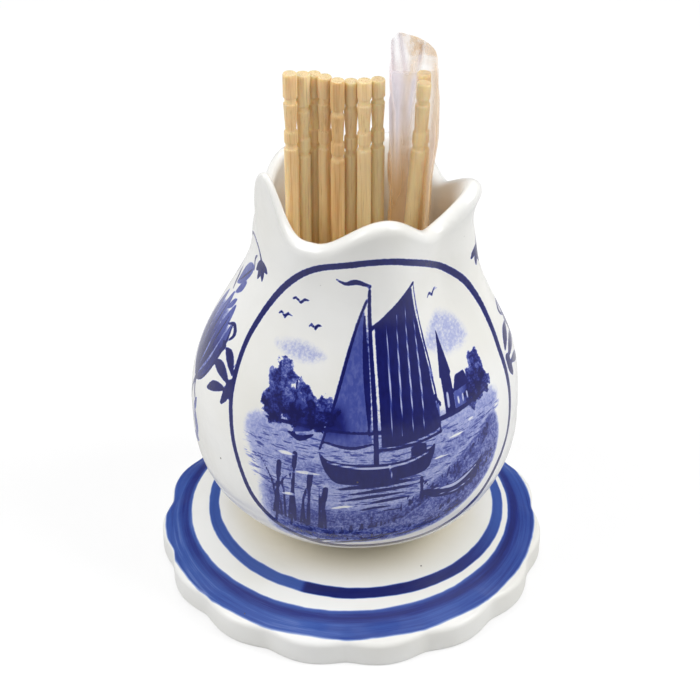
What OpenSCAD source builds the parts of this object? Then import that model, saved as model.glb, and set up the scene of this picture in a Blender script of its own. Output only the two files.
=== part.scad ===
// A tulip-shaped toothpick holder: a bellied cup with five pinched petals, luted to a scalloped
// foot. Turned toothpicks stand in it, a loose row of them and two more in a clear film sleeve.
// Z is the axis of the cup, the foot stands on z = 0, and the front of the cup faces -Y.

/* [Cup] */
// Outer radius of the cup at its belly
belly_r = 23.9; // [23:0.1:26]
// Height of the belly above the table
belly_z = 26.4; // [25:0.1:28]
// Radius of the waist, where the cup stands on the foot
waist_r = 14.2; // [12:0.1:16]
// Height of the waist above the table
waist_z = 9.9; // [9:0.1:10.5]
// Outer radius of the throat, just below the petals
throat_r = 17.6; // [17:0.1:19]
// Height of the throat above the table
throat_z = 56.4; // [54:0.1:57]
// Thickness of the cup's wall
wall = 2.8; // [2:0.1:2.9]
// Height of the lowest point of the cup's floor
floor_z = 14.9; // [13:0.1:16]

/* [Petals] */
// Height of the lip's top in the pinches between the petals
pinch_z = 61.9; // [60:0.1:63]
// Radius of the middle of the lip in the pinches
pinch_r = 13.6; // [13.3:0.1:15]
// How much higher than the pinches a full petal stands
petal_rise = 5.2; // [2:0.1:7]
// How much further out than the pinches a full petal curls
petal_reach = 3.5; // [1:0.1:5]
// Thickness of the rounded lip
lip_t = 2.6; // [2:0.1:3.2]
// Depth of the furrow that runs down from each pinch
furrow = 3; // [1:0.1:3.2]
// How far the furrows run down from the throat
furrow_len = 28; // [12:0.5:28]

/* [Foot] */
// Radius of the foot across the tips of its scallops
foot_r = 29.6; // [28:0.1:34]
// Number of scallops round the edge
scallops = 15; // [9:1:18]
// Depth of the notches between the scallops
scallop_depth = 0.9; // [0.3:0.1:1.5]
// Height of the foot's edge, where its top begins
edge_z = 4.3; // [3.8:0.1:5]
// Radius of the rounding above the scalloped edge
edge_round = 0.9; // [0.4:0.1:1.6]
// Radius of the rounding below the scalloped edge
sole_round = 0.4; // [0.2:0.1:1]
// Width of the flat ring that the foot stands on
ring_w = 3.2; // [2:0.1:5]
// Height of the hollow under the foot, at its side
hollow_side_z = 2.2; // [1:0.1:2.6]
// Height of the hollow under the foot, at its middle
hollow_mid_z = 3.8; // [2.6:0.1:4]

/* [Toothpicks] */
// Diameter of a toothpick
pick_d = 1.9; // [1.6:0.05:2]
// Length of a toothpick
pick_len = 65; // [60:0.5:70]
// Length of the tapered point
point_len = 8; // [4:0.5:12]
// Diameter of the blunted tip
tip_d = 0.5; // [0.3:0.1:0.8]
// Length of the plain cap above the turned grooves
cap_len = 3.5; // [3:0.1:5]
// Width of each turned groove
groove_w = 0.8; // [0.5:0.1:1.2]
// Diameter at the bottom of a groove
groove_d = 1.36; // [1.1:0.02:1.5]
// Length of the tapered barrel between the grooves
barrel_len = 4.2; // [3:0.1:6]
// Diameter of the barrel at its thin lower end
barrel_d = 1.44; // [1.2:0.02:1.6]
// Width of the ring below the barrel
bead_w = 1.9; // [1:0.1:2.4]
// Free space between neighbouring toothpicks
pick_gap = 0.15; // [0.1:0.01:0.25]
// Free space under each point
seat_gap = 0.12; // [0.1:0.01:0.3]
// Place of the first toothpick of the row, left of the axis
row_left = 8.3; // [7.5:0.1:9]
// How far behind the axis the row starts
row_back = 0.1; // [-1:0.1:0.5]

/* [Film sleeve] */
// Width of the sleeve, outside
sleeve_w = 6.9; // [6.6:0.1:7.4]
// Depth of the sleeve, outside
sleeve_d = 4.9; // [4.8:0.1:5.4]
// Thickness of the film
film_t = 0.25; // [0.2:0.01:0.28]
// Height of the mouth's front edge above the table
mouth_z = 81.8; // [78:0.1:84]
// How far the flap stands above the mouth's front edge
flap_rise = 3.9; // [1:0.1:8]
// Free space between the sleeve and the row of loose toothpicks
sleeve_gap = 0.2; // [0.2:0.05:0.5]
// How far the toothpick at the front of the sleeve leans to the right over its length
lean_across = 4; // [0:0.1:4.2]

/* [Hidden] */

// Colours of the glaze, the wood and the film
glaze = [0.94, 0.94, 0.92];
wood = [0.86, 0.73, 0.50];
film = [0.92, 0.90, 0.93, 0.4];

// Bearings of the five petals' tips, and of the pinch to the right of each, in degrees to the
// right of the front
petal_angles = [16, 84, 158, 220, 302];
pinch_angles = [52, 112, 190, 260, 337];
// How far out the rim curls, how high it stands, how thick its lip is and how far the throat
// bulges, as shares of a full petal: at the five tips, then in the five pinches. A tip's point
// is a power: above 1 it makes the rise to the tip narrower than a smooth swing
tip_reach_shares = [0.50, 0.95, 0.90, 0.05, 0.06];
pinch_reach_shares = [0, 0, 0, -0.30, 0];
tip_rise_shares = [0.93, 0.65, 0.30, 0.50, 1.68];
pinch_rise_shares = [0, 0, 0, -0.20, 0];
tip_points = [1, 1, 1, 1, 2];
tip_lip_shares = [1, 1, 1, 0.8, 0.42];
pinch_lip_shares = [1, 1, 1, 0.6, 1];
tip_bulge_shares = [0.70, 1.00, 0.85, 0.15, -0.13];
pinch_bulge_shares = [0, 0, 0, -0.18, 0];
// Bearing of the first notch between scallops, in degrees to the right of the front
first_notch = -1.5;
// Step from each toothpick of the row to the next: degrees that it turns back or forward
row_turns = [35, 42, -45, -32, 27, -28, 26];
// Length of each loose toothpick and of its cap, as shares of the nominal ones
row_len_shares = [1.000, 0.995, 0.988, 0.996, 0.998, 0.990, 0.998, 0.992];
row_cap_shares = [1.03, 1.33, 0.97, 0.88, 1.24, 0.95, 0.79, 0.73];
// The same for the two toothpicks in the sleeve, the front one first
sleeved_len_shares = [0.985, 0.975];
sleeved_cap_shares = [0.69, 1.05];

// Counts of columns and rows of the lofted shells
cup_columns = 75;
bowl_rows = 8;
shoulder_rows = 9;
petal_rows = 5;
lip_rows = 4;
scallop_columns = 6;
foot_rows = 7;
round_rows = 3;
sleeve_columns = 28;
sleeve_rows = 3;
$fn = 32;

// A point at radius r and height z, on bearing a in degrees to the right of the front
function around(r, a, z) = [r * sin(a), -r * cos(a), z];
// Smooth step from 0 to 1 as x goes from 0 to 1
function ease(x) = let (t = min(max(x, 0), 1)) t * t * (3 - 2 * t);
// The difference of two bearings, from -180 to 180
function turn(a, b) = (a - b + 900) % 360 - 180;
function mix(a, b, t) = a + (b - a) * t;
function total(list) = list * [for (item = list) 1];

// Profile of the cup's outside, from the waist to the throat
bowl_power = 2.4;
shoulder_power = 1.35;
function bowl_r(z) = mix(waist_r, belly_r, 1 - pow((belly_z - z) / (belly_z - waist_z), bowl_power));
function shoulder_share(z) =
    let (t = (z - belly_z) / (throat_z - belly_z))
    (1 + cos(180 * pow(t, shoulder_power))) / 2;
function shoulder_r(z) = mix(throat_r, belly_r, shoulder_share(z));

// The inside of the bowl is half an ellipsoid, from the floor's middle to the belly
inner_r = belly_r - wall;
inner_h = belly_z - floor_z;
function floor_at(r) = belly_z - inner_h * sqrt(1 - pow(r / inner_r, 2));

// The rim's value on bearing a: it swings smoothly from each petal's tip to the pinch on either
// side. A bearing lies on one petal only, so the others add nothing
petals = len(petal_angles);
function petal_value(j, a, tips, pinches, points) =
    let (
        away = turn(a, petal_angles[j]),
        side = away < 0 ? (j + petals - 1) % petals : j,
        half = abs(turn(pinch_angles[side], petal_angles[j]))
    )
    away >= -half && away < half
        ? mix(pinches[side], tips[j], pow((1 + cos(180 * away / half)) / 2, points[j]))
        : 0;
function rim_value(a, tips, pinches, points = [for (tip = petal_angles) 1]) =
    total([for (j = [0:petals - 1]) petal_value(j, a, tips, pinches, points)]);
function reach(a) = petal_reach * rim_value(a, tip_reach_shares, pinch_reach_shares);
function rise(a) = petal_rise * rim_value(a, tip_rise_shares, pinch_rise_shares, tip_points);
function pinch_depth(a) = furrow * (1 - rim_value(a, tip_bulge_shares, pinch_bulge_shares));

// The middle of the wall above the throat curves out from the throat to the middle of the lip.
// The bend's place between the two, inward and upward, and how far a full petal draws it in
bend_in_share = 0.35;
bend_up_share = 0.45;
bend_draw_share = 0.06;
function throat_mid(a) = [throat_r - wall / 2 - pinch_depth(a), throat_z];
function lip_t_at(a) = lip_t * rim_value(a, tip_lip_shares, pinch_lip_shares);
function lip_mid(a) = [pinch_r + reach(a), pinch_z - lip_t / 2 + rise(a)];
function bend_mid(a) = [
    mix(throat_mid(a)[0], pinch_r, bend_in_share) - reach(a) * bend_draw_share,
    mix(throat_z, lip_mid(a)[1], bend_up_share)
];
function petal_mid(a, t) =
    throat_mid(a) * pow(1 - t, 2) + bend_mid(a) * 2 * t * (1 - t) + lip_mid(a) * pow(t, 2);
function petal_run(a, t) =
    (bend_mid(a) - throat_mid(a)) * (1 - t) + (lip_mid(a) - bend_mid(a)) * t;
function petal_across(a, t) = let (run = petal_run(a, t)) [run[1], -run[0]] / norm(run);
function petal_t(a, t) = mix(wall, lip_t_at(a), ease(t));

// One column of the cup: from the rim of its base up the outside, over the lip and down inside
function bowl_outside(a) = [
    for (i = [0:bowl_rows - 1])
        let (z = mix(waist_z, belly_z, 1 - cos(90 * i / bowl_rows)))
        around(bowl_r(z), a, z)
];
function furrowed_r(a, z) =
    shoulder_r(z) - pinch_depth(a) * ease((z - throat_z + furrow_len) / furrow_len);
function shoulder_outside(a) = [
    for (i = [0:shoulder_rows - 1])
        let (z = mix(belly_z, throat_z, i / shoulder_rows))
        around(furrowed_r(a, z), a, z)
];
function petal_outside(a) = [
    for (i = [0:petal_rows - 1])
        let (t = i / petal_rows, p = petal_mid(a, t) + petal_across(a, t) * petal_t(a, t) / 2)
        around(p[0], a, p[1])
];
function lip_round(a) = [
    for (i = [0:lip_rows])
        let (
            side = petal_across(a, 1),
            up = [-side[1], side[0]],
            turned = 180 * i / lip_rows,
            p = lip_mid(a) + (side * cos(turned) + up * sin(turned)) * lip_t_at(a) / 2
        )
        around(p[0], a, p[1])
];
function petal_inside(a) = [
    for (i = [petal_rows - 1:-1:0])
        let (t = i / petal_rows, p = petal_mid(a, t) - petal_across(a, t) * petal_t(a, t) / 2)
        around(p[0], a, p[1])
];
function shoulder_inside(a) = [
    for (i = [shoulder_rows - 1:-1:0])
        let (z = mix(belly_z, throat_z, i / shoulder_rows))
        around(furrowed_r(a, z) - wall, a, z)
];
function bowl_inside(a) = [
    for (i = [1:bowl_rows - 1])
        let (turned = 90 * i / bowl_rows)
        around(inner_r * cos(turned), a, belly_z - inner_h * sin(turned))
];
function cup_column(a) = concat(bowl_outside(a), shoulder_outside(a), petal_outside(a),
    lip_round(a), petal_inside(a), shoulder_inside(a), bowl_inside(a));

// A closed skin through columns of points, with a point on the axis at each end of the columns
module skin(columns, first_pole, last_pole) {
    n = len(columns);
    m = len(columns[0]);
    points = concat([for (column = columns) each column], [first_pole, last_pole]);
    walls = [
        for (k = [0:n - 1], i = [0:m - 2])
            let (a = k * m + i, b = (k + 1) % n * m + i)
            each [[a, a + 1, b + 1], [a, b + 1, b]]
    ];
    first_cap = [for (k = [0:n - 1]) [n * m, k * m, (k + 1) % n * m]];
    last_cap = [for (k = [0:n - 1]) [n * m + 1, (k + 1) % n * m + m - 1, k * m + m - 1]];
    polyhedron(points, concat(walls, first_cap, last_cap), convexity = 8);
}

module tulip_body() {
    color(glaze)
        skin([for (k = [0:cup_columns - 1]) cup_column(360 * k / cup_columns)],
            [0, 0, waist_z], [0, 0, floor_z]);
}

// The foot's edge: full at the middle of each scallop, with a soft notch between two
notch_soft = 0.05;
function scallop_share(a) =
    (sqrt(pow(sin(scallops * (a - first_notch) / 2), 2) + notch_soft) - sqrt(notch_soft))
    / (sqrt(1 + notch_soft) - sqrt(notch_soft));
function edge_r(a) = foot_r - scallop_depth * (1 - scallop_share(a));
// The foot's top falls from the waist in a fillet, then runs out to the edge as a shallow cone
top_edge_r = foot_r - scallop_depth - edge_round;
fillet_share = 0.13;
fillet_power = 5;
function top_z(r) =
    let (t = (top_edge_r - r) / (top_edge_r - waist_r))
    mix(edge_z, waist_z, mix(t, pow(t, fillet_power), fillet_share));

// One column of the foot: from the hollow's ceiling over the standing ring and edge to the waist
ring_in_r = foot_r - scallop_depth - sole_round - ring_w;
dome_share = 0.75;
function foot_column(a) =
    let (r = edge_r(a), low_r = r - sole_round, high_r = r - edge_round)
    concat(
        [around(ring_in_r / 2, a, mix(hollow_side_z, hollow_mid_z, dome_share))],
        [around(ring_in_r - hollow_side_z / 2, a, hollow_side_z)],
        [around(ring_in_r, a, 0)],
        [
            for (i = [0:round_rows])
                let (turned = 90 * i / round_rows)
                around(low_r + sole_round * sin(turned), a, sole_round * (1 - cos(turned)))
        ],
        [
            for (i = [0:round_rows])
                let (turned = 90 * i / round_rows)
                around(high_r + edge_round * cos(turned), a, edge_z - edge_round * (1 - sin(turned)))
        ],
        [
            for (i = [1:foot_rows])
                let (r_top = mix(top_edge_r, waist_r, i / foot_rows))
                around(r_top, a, top_z(r_top))
        ]
    );

module scalloped_foot() {
    columns = scallops * scallop_columns;
    color(glaze)
        skin([for (k = [0:columns - 1]) foot_column(first_notch + 360 * k / columns)],
            [0, 0, hollow_mid_z], [0, 0, waist_z]);
}

// One toothpick, point down at the origin: a tapered point, the shaft, and the turned head.
// The ring below the barrel is as thick as this share of the way from the barrel to the shaft
bead_share = 0.7;
module pick(length, cap) {
    r = pick_d / 2;
    bevel = groove_w / 4;
    bead_r = mix(barrel_d, pick_d, bead_share) / 2;
    cap_z = length - cap;
    barrel_top_z = cap_z - groove_w;
    bead_top_z = barrel_top_z - barrel_len;
    bead_z = bead_top_z - bead_w;
    shaft_z = bead_z - groove_w;
    rotate_extrude()
        polygon([
            [0, 0],
            [tip_d / 2, 0],
            [r, point_len],
            [r, shaft_z],
            [groove_d / 2, shaft_z + bevel],
            [groove_d / 2, bead_z - bevel],
            [bead_r, bead_z],
            [bead_r, bead_top_z - bevel],
            [barrel_d / 2, bead_top_z],
            [r - bevel / 2, barrel_top_z - bevel],
            [groove_d / 2, barrel_top_z],
            [groove_d / 2, cap_z - bevel],
            [r, cap_z],
            [r, length - bevel],
            [r - bevel, length],
            [0, length]
        ]);
}

// Places of the loose row: each toothpick stands one step from the last
pick_step = pick_d + pick_gap;
function row_place(i) =
    i == 0 ? [-row_left, row_back]
           : row_place(i - 1) + pick_step * [cos(row_turns[i - 1]), sin(row_turns[i - 1])];
function stand_z(place) = floor_at(norm(place) + tip_d / 2) + seat_gap;

module loose_pick(i) {
    place = row_place(i);
    color(wood)
        translate([place[0], place[1], stand_z(place)])
            pick(pick_len * row_len_shares[i], cap_len * row_cap_shares[i]);
}
module loose_pick_1() { loose_pick(0); }
module loose_pick_2() { loose_pick(1); }
module loose_pick_3() { loose_pick(2); }
module loose_pick_4() { loose_pick(3); }
module loose_pick_5() { loose_pick(4); }
module loose_pick_6() { loose_pick(5); }
module loose_pick_7() { loose_pick(6); }
module loose_pick_8() { loose_pick(7); }

// The sleeve stands to the right of the last loose toothpick
last_place = row_place(7);
sleeve_x = last_place[0] + pick_d / 2 + sleeve_gap + sleeve_w / 2;
sleeve_y = last_place[1];
// A flattened loop with round corners, of half width w and half depth d
loop_power = 5;
function loop_point(w, d, a) =
    let (
        s = sin(a),
        c = -cos(a),
        k = pow(pow(abs(s), loop_power) + pow(abs(c), loop_power), -1 / loop_power)
    )
    [sleeve_x + w * s * k, sleeve_y + d * c * k];
// Height of the mouth on bearing a: level at the front, a flap at the back, highest at the left
flap_peak = 215;
flap_half = 110;
flap_slope = 1.6;
function mouth_at(a) =
    mouth_z + flap_rise * ease(flap_slope * (1 - abs(turn(a, flap_peak)) / flap_half));
function lifted(p, rise) = [p[0], p[1], floor_at(norm(p)) + rise];
function sleeve_column(a) =
    let (
        w = sleeve_w / 2,
        d = sleeve_d / 2,
        out = loop_point(w, d, a),
        low_out = lifted(out, seat_gap),
        in = loop_point(w - film_t, d - film_t, a),
        low_in = lifted(in, seat_gap + film_t),
        top = mouth_at(a)
    )
    concat(
        [lifted(loop_point(w / 2, d / 2, a), seat_gap)],
        [for (i = [0:sleeve_rows]) [out[0], out[1], mix(low_out[2], top, i / sleeve_rows)]],
        [for (i = [sleeve_rows:-1:0]) [in[0], in[1], mix(low_in[2], top, i / sleeve_rows)]],
        [lifted(loop_point(w / 2, d / 2, a), seat_gap + film_t)]
    );

module film_sleeve() {
    middle = [sleeve_x, sleeve_y];
    color(film)
        skin([for (k = [0:sleeve_columns - 1]) sleeve_column(360 * k / sleeve_columns)],
            lifted(middle, seat_gap), lifted(middle, seat_gap + film_t));
}

// The two toothpicks in the sleeve stand one behind the other at its right side
sleeved_back = pick_step / 2;
sleeved_inset = 0.5;
sleeved_top_x = sleeve_x + sleeve_w / 2 - film_t - pick_gap - pick_d / 2 - sleeved_inset;
module sleeved_pick(i, side, across) {
    length = pick_len * sleeved_len_shares[i];
    tilt = asin(across / length);
    place = [sleeved_top_x - across, sleeve_y + side * sleeved_back];
    color(wood)
        translate([place[0], place[1], stand_z(place) + film_t + tip_d / 2 * sin(tilt)])
            rotate([0, tilt, 0])
                pick(length, cap_len * sleeved_cap_shares[i]);
}
module sleeved_pick_front() { sleeved_pick(0, -1, lean_across); }
module sleeved_pick_back() { sleeved_pick(1, 1, 0); }

tulip_body();
scalloped_foot();
film_sleeve();
loose_pick_1();
loose_pick_2();
loose_pick_3();
loose_pick_4();
loose_pick_5();
loose_pick_6();
loose_pick_7();
loose_pick_8();
sleeved_pick_front();
sleeved_pick_back();
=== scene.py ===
# %% [markdown]
# # A toothpick holder in painted ceramic
#
# The holder is a small tulip of slip-cast ceramic with five petals pinched by hand. It stands on
# a scalloped foot, is painted in cobalt blue and is glazed over. Turned toothpicks stand in it,
# eight loose and two still in their clear wrapper.
#
# The frame gives one object for each solid of the plain model. They say where everything is, and
# each lesson below makes the real surface over one of them, in metres, in the same place.

# %% Load the frame
import math
import bpy
import numpy as np
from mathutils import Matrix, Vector


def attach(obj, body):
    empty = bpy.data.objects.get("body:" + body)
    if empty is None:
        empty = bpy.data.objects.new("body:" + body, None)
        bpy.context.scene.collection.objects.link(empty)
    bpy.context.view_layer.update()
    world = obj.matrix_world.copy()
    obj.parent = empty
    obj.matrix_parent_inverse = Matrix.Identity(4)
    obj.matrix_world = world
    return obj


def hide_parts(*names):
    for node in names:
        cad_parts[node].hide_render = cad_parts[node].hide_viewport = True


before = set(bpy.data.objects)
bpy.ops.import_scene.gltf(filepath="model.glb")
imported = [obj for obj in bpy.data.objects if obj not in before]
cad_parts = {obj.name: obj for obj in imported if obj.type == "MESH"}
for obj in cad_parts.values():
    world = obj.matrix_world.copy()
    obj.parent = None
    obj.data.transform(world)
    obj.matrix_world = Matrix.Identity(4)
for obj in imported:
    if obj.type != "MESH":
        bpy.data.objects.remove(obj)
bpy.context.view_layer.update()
MM = 0.001
print("Solids of the frame:", ", ".join(sorted(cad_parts)))

# %% [markdown]
# ## Writing nodes as sums
#
# A finish is a small computation, done at every point of a surface. Wired by hand it becomes a
# web of Math nodes that nobody can read back. Here one class wraps a socket and gives it the
# usual operators, so that `1 - mask * 0.3` adds the nodes itself. One method makes every other
# node, from its type, its settings and what goes into its sockets. Shape trees use the same two.

# %% A socket that can be added and multiplied
class Wire:
    """An output socket, with Python's operators standing for Math nodes."""

    def __init__(self, tree, socket):
        self.tree = tree
        self.socket = socket

    def math(self, operation, *values):
        return self.tree.node("ShaderNodeMath", {"operation": operation}, dict(enumerate(values)))

    def __add__(self, other):
        return self.math("ADD", self, other)

    def __sub__(self, other):
        return self.math("SUBTRACT", self, other)

    def __rsub__(self, other):
        return self.math("SUBTRACT", other, self)

    def __mul__(self, other):
        return self.math("MULTIPLY", self, other)

    def __truediv__(self, other):
        return self.math("DIVIDE", self, other)

    def __pow__(self, other):
        return self.math("POWER", self, other)

    def __abs__(self):
        return self.math("ABSOLUTE", self)

    __radd__ = __add__
    __rmul__ = __mul__


def mix(a, b, share):
    return a + (b - a) * share


# %% One method for every other node
class Tree:
    """A node tree under construction."""

    def __init__(self, nodes):
        self.nodes = nodes

    def node(self, kind, settings={}, sockets={}, out=0):
        made = self.nodes.nodes.new(kind)
        for key, value in settings.items():
            if key == "stops":
                self.stops(made.color_ramp, value)
            else:
                setattr(made, key, value)
        for key, value in sockets.items():
            if isinstance(value, Wire):
                self.nodes.links.new(value.socket, made.inputs[key])
            else:
                made.inputs[key].default_value = value
        return Wire(self, made.outputs[out]) if made.outputs else made

    def stops(self, ramp, stops):
        while len(ramp.elements) < len(stops):
            ramp.elements.new(1)
        for element, (place, colour) in zip(ramp.elements, stops):
            element.position = place
            element.color = colour

    def ease(self, value, low, high, to_low=0, to_high=1):
        """A smooth step: to_low where value is below low, to_high where it is above high."""
        sockets = {0: value, 1: low, 2: high, 3: to_low, 4: to_high}
        return self.node("ShaderNodeMapRange", {"interpolation_type": "SMOOTHSTEP"}, sockets)

    def share(self, value, low, high):
        """How far value is on its way from low to high, from 0 to 1."""
        return self.node("ShaderNodeMapRange", {}, {0: value, 1: low, 2: high})

    def sine(self, degrees):
        return degrees.math("SINE", degrees * math.radians(1))

    def cosine(self, degrees):
        return degrees.math("COSINE", degrees * math.radians(1))

    def most(self, a, b):
        return a.math("MAXIMUM", a, b)

    def vector(self, x, y, z):
        return self.node("ShaderNodeCombineXYZ", {}, {0: x, 1: y, 2: z})

    def parts(self, vector):
        return [self.node("ShaderNodeSeparateXYZ", {}, {0: vector}, k) for k in range(3)]

    def noise(self, vector, scale=1, detail=2, rough=0.5):
        sockets = {"Vector": vector, "Scale": scale, "Detail": detail, "Roughness": rough}
        return self.node("ShaderNodeTexNoise", {"noise_dimensions": "3D"}, sockets)


# %% A finish, which is a material with a Principled shader
class Finish(Tree):
    """A material. What varies over it comes in on wires, and the rest as plain numbers."""

    def __init__(self, name):
        self.material = bpy.data.materials.new(name)
        self.material.use_nodes = True
        super().__init__(self.material.node_tree)
        self.nodes.nodes.clear()
        self.place = self.node("ShaderNodeTexCoord", {}, {}, 3)

    def blend(self, a, b, factor):
        return self.node("ShaderNodeMix", {"data_type": "RGBA"}, {0: factor, 6: a, 7: b}, 2)

    def ramp(self, value, *stops):
        return self.node("ShaderNodeValToRGB", {"stops": stops}, {0: value})

    def painted(self, name):
        return self.node("ShaderNodeAttribute", {"attribute_name": name}, {}, 2)

    def times(self, x, y, z):
        """The point on the piece, with its coordinates in mm times x, y and z."""
        sockets = {0: self.place, 1: (x / MM, y / MM, z / MM)}
        return self.node("ShaderNodeVectorMath", {"operation": "MULTIPLY"}, sockets)

    def bump(self, height, depth):
        """A normal from a height that goes from 0 to 1 over depth mm."""
        return self.node("ShaderNodeBump", {}, {"Distance": depth * MM, "Height": height})

    def done(self, sockets):
        shader = self.node("ShaderNodeBsdfPrincipled", {}, sockets)
        self.node("ShaderNodeOutputMaterial", {}, {0: shader})
        return self.material


def seen(red, green, blue):
    """A colour as it is read off a screen, from 0 to 255, as the light that the shaders use."""
    light = [((c / 255 + 0.055) / 1.055) ** 2.4 for c in (red, green, blue)]
    return (*light, 1)


# %% [markdown]
# ## Camera, floor and lamps
#
# The photograph looks down on the holder from 35 degrees, with a long lens from a little over a
# quarter of a metre. The floor and the world are white where the camera looks at them, and the
# floor still darkens softly where the holder keeps the light from it.
#
# The light is a white tent: a bright world, and three large lamps with soft edges. Together they
# are level enough that a colour comes out about as it is written.

# %% The camera
DISTANCE, LOOK_DOWN, AIM_Z = 280, 35, 35.8
PHOTO_SIZE, AXIS_X = 700, 351.6
LENS = 97.56

camera = bpy.data.objects.new("camera", bpy.data.cameras.new("camera"))
bpy.context.scene.collection.objects.link(camera)
down = math.radians(LOOK_DOWN)
camera.location = Vector((0, -DISTANCE * math.cos(down), AIM_Z + DISTANCE * math.sin(down))) * MM
camera.rotation_euler = (math.radians(90) - down, 0, 0)
camera.data.lens = LENS
camera.data.clip_start = 0.01
camera.data.shift_x = (PHOTO_SIZE / 2 - AXIS_X) / PHOTO_SIZE
bpy.context.scene.camera = camera
bpy.context.scene.view_settings.view_transform = "Standard"
print("Camera at", [round(x, 4) for x in camera.location])

# %% The world, white for the camera
FROM_FRONT, FROM_SIDES, FROM_TOP = 0.168, 0.325, 0.582
world = bpy.data.worlds.new("tent")
world.use_nodes = True
bpy.context.scene.world = world
tent = Tree(world.node_tree)
tent.nodes.nodes.clear()
looked_at = tent.node("ShaderNodeLightPath")
x_way, _, z_way = tent.parts(tent.node("ShaderNodeTexCoord"))
light = FROM_FRONT + tent.ease(abs(x_way), 0.3, 1.0) * FROM_SIDES + tent.ease(z_way, 0.4, 0.95) * FROM_TOP
sky = tent.node("ShaderNodeBackground", {}, {0: (1, 1, 1, 1), 1: mix(light, 1.0, looked_at)})
tent.node("ShaderNodeOutputWorld", {}, {0: sky})
print("The tent gives", FROM_FRONT, "in front,", FROM_SIDES, "more at the sides,", FROM_TOP, "on top")

# %% The floor, which keeps the holder's shadow
FLOOR_HALF = 1.5
SHADOW_DEPTH, SHADOW_REACH = 0.4, (0.1, 0.26)
PALE, DULL = 0.95, 0.62
floor_mesh = bpy.data.meshes.new("floor")
corners = [(x * FLOOR_HALF, y * FLOOR_HALF, 0) for x, y in ((-1, -1), (1, -1), (1, 1), (-1, 1))]
floor_mesh.from_pydata(corners, [], [(0, 1, 2, 3)])
floor = bpy.data.objects.new("floor", floor_mesh)
bpy.context.scene.collection.objects.link(floor)
paper = Finish("white paper")
pale = paper.node("ShaderNodeBsdfDiffuse", {}, {0: (PALE, PALE, PALE, 1)})
dull = paper.node("ShaderNodeBsdfDiffuse", {}, {0: (DULL, DULL, DULL, 1)})
white = paper.node("ShaderNodeEmission", {}, {0: (1, 1, 1, 1), 1: 1.0})
by_eye = paper.node("ShaderNodeLightPath")
floor_x, floor_y, _ = paper.parts(paper.place)
away = paper.ease((floor_x * floor_x + floor_y * floor_y) ** 0.5, *SHADOW_REACH)
shadow = (1 - away) * SHADOW_DEPTH
looked_down_on = paper.node("ShaderNodeMixShader", {}, {0: shadow, 1: white, 2: pale})
both = paper.node("ShaderNodeMixShader", {}, {0: by_eye, 1: dull, 2: looked_down_on})
paper.node("ShaderNodeOutputMaterial", {}, {0: both})
floor_mesh.materials.append(paper.material)
print("The floor is", 2 * FLOOR_HALF, "m wide")


# %% Three soft lamps
def lamp(name, place, size, power):
    data = bpy.data.lights.new(name, "AREA")
    data.shape = "DISK"
    data.size = size
    data.energy = power
    made = bpy.data.objects.new(name, data)
    made.location = place
    to_holder = Vector((0, 0, AIM_Z * MM)) - Vector(place)
    made.rotation_euler = to_holder.to_track_quat("-Z", "Y").to_euler()
    bpy.context.scene.collection.objects.link(made)
    print("The lamp", name, "is", size, "m wide and gives", power, "W")


lamp("left", (-0.48, -0.15, 0.46), 0.40, 1.87)
lamp("right", (0.49, -0.11, 0.46), 0.40, 2.18)
lamp("top", (0.02, 0.16, 0.66), 0.50, 0.89)

# %% [markdown]
# ## The cup
#
# The real cup is cast in a mould and its rim is pinched while the clay is soft, so the petals are
# one wall with the belly. A sculpted mesh would show that, but here the shape follows a rule: a
# profile for the belly and shoulder, and a rim whose reach, height and thickness swing from each
# petal's tip to the pinches beside it. So the wall is worked out point by point, and one closed
# skin goes from the waist up the outside, over the lip and down to the floor inside.
#
# The skin is fine at the front, where the painting is, because the paint is stored in its points.

# %% The cup's measures, in mm
BELLY_R, BELLY_Z = 23.9, 26.4
WAIST_R, WAIST_Z = 14.2, 9.9
THROAT_R, THROAT_Z = 17.6, 56.4
WALL, FLOOR_Z = 2.8, 14.9
PINCH_R, PINCH_Z = 13.6, 61.9
PETAL_REACH, PETAL_RISE = 3.5, 5.2
LIP, FURROW, FURROW_LEN = 2.6, 3, 28
BOWL_POWER, SHOULDER_POWER = 2.4, 1.35
BEND_IN, BEND_UP, BEND_DRAW = 0.35, 0.45, 0.06
PETALS = (16, 84, 158, 220, 302)
PINCHES = (52, 112, 190, 260, 337)
EVEN = (1, 1, 1, 1, 1)
REACHES = ((0.50, 0.95, 0.90, 0.05, 0.06), (0, 0, 0, -0.30, 0))
RISES = ((0.93, 0.65, 0.30, 0.50, 1.68), (0, 0, 0, -0.20, 0), (1, 1, 1, 1, 2))
LIPS = ((1, 1, 1, 0.8, 0.42), (1, 1, 1, 0.6, 1))
BULGES = ((0.70, 1.00, 0.85, 0.15, -0.13), (0, 0, 0, -0.18, 0))
print("The belly is", 2 * BELLY_R, "mm across, the throat", 2 * THROAT_R, "and the waist", 2 * WAIST_R)


# %% Rules that the rim and the wall follow
def ease(x):
    t = np.clip(x, 0, 1)
    return t * t * (3 - 2 * t)


def turn(a, b):
    """The difference of two bearings, from -180 to 180 degrees."""
    return (a - b + 900) % 360 - 180


def rim(a, tips, pinches, points=EVEN):
    """The rim's value on bearing a, which swings between the petals' tips and the pinches."""
    found = np.zeros_like(a)
    for j, tip in enumerate(PETALS):
        away = turn(a, tip)
        for side, here in (((j - 1) % 5, away < 0), (j, away >= 0)):
            half = abs(turn(PINCHES[side], tip))
            swing = np.clip((1 + np.cos(np.pi * away / half)) / 2, 0, 1) ** points[j]
            found = np.where(here & (abs(away) <= half), mix(pinches[side], tips[j], swing), found)
    return found


def bowl_r(z):
    return mix(WAIST_R, BELLY_R, 1 - ((BELLY_Z - z) / (BELLY_Z - WAIST_Z)) ** BOWL_POWER)


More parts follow.
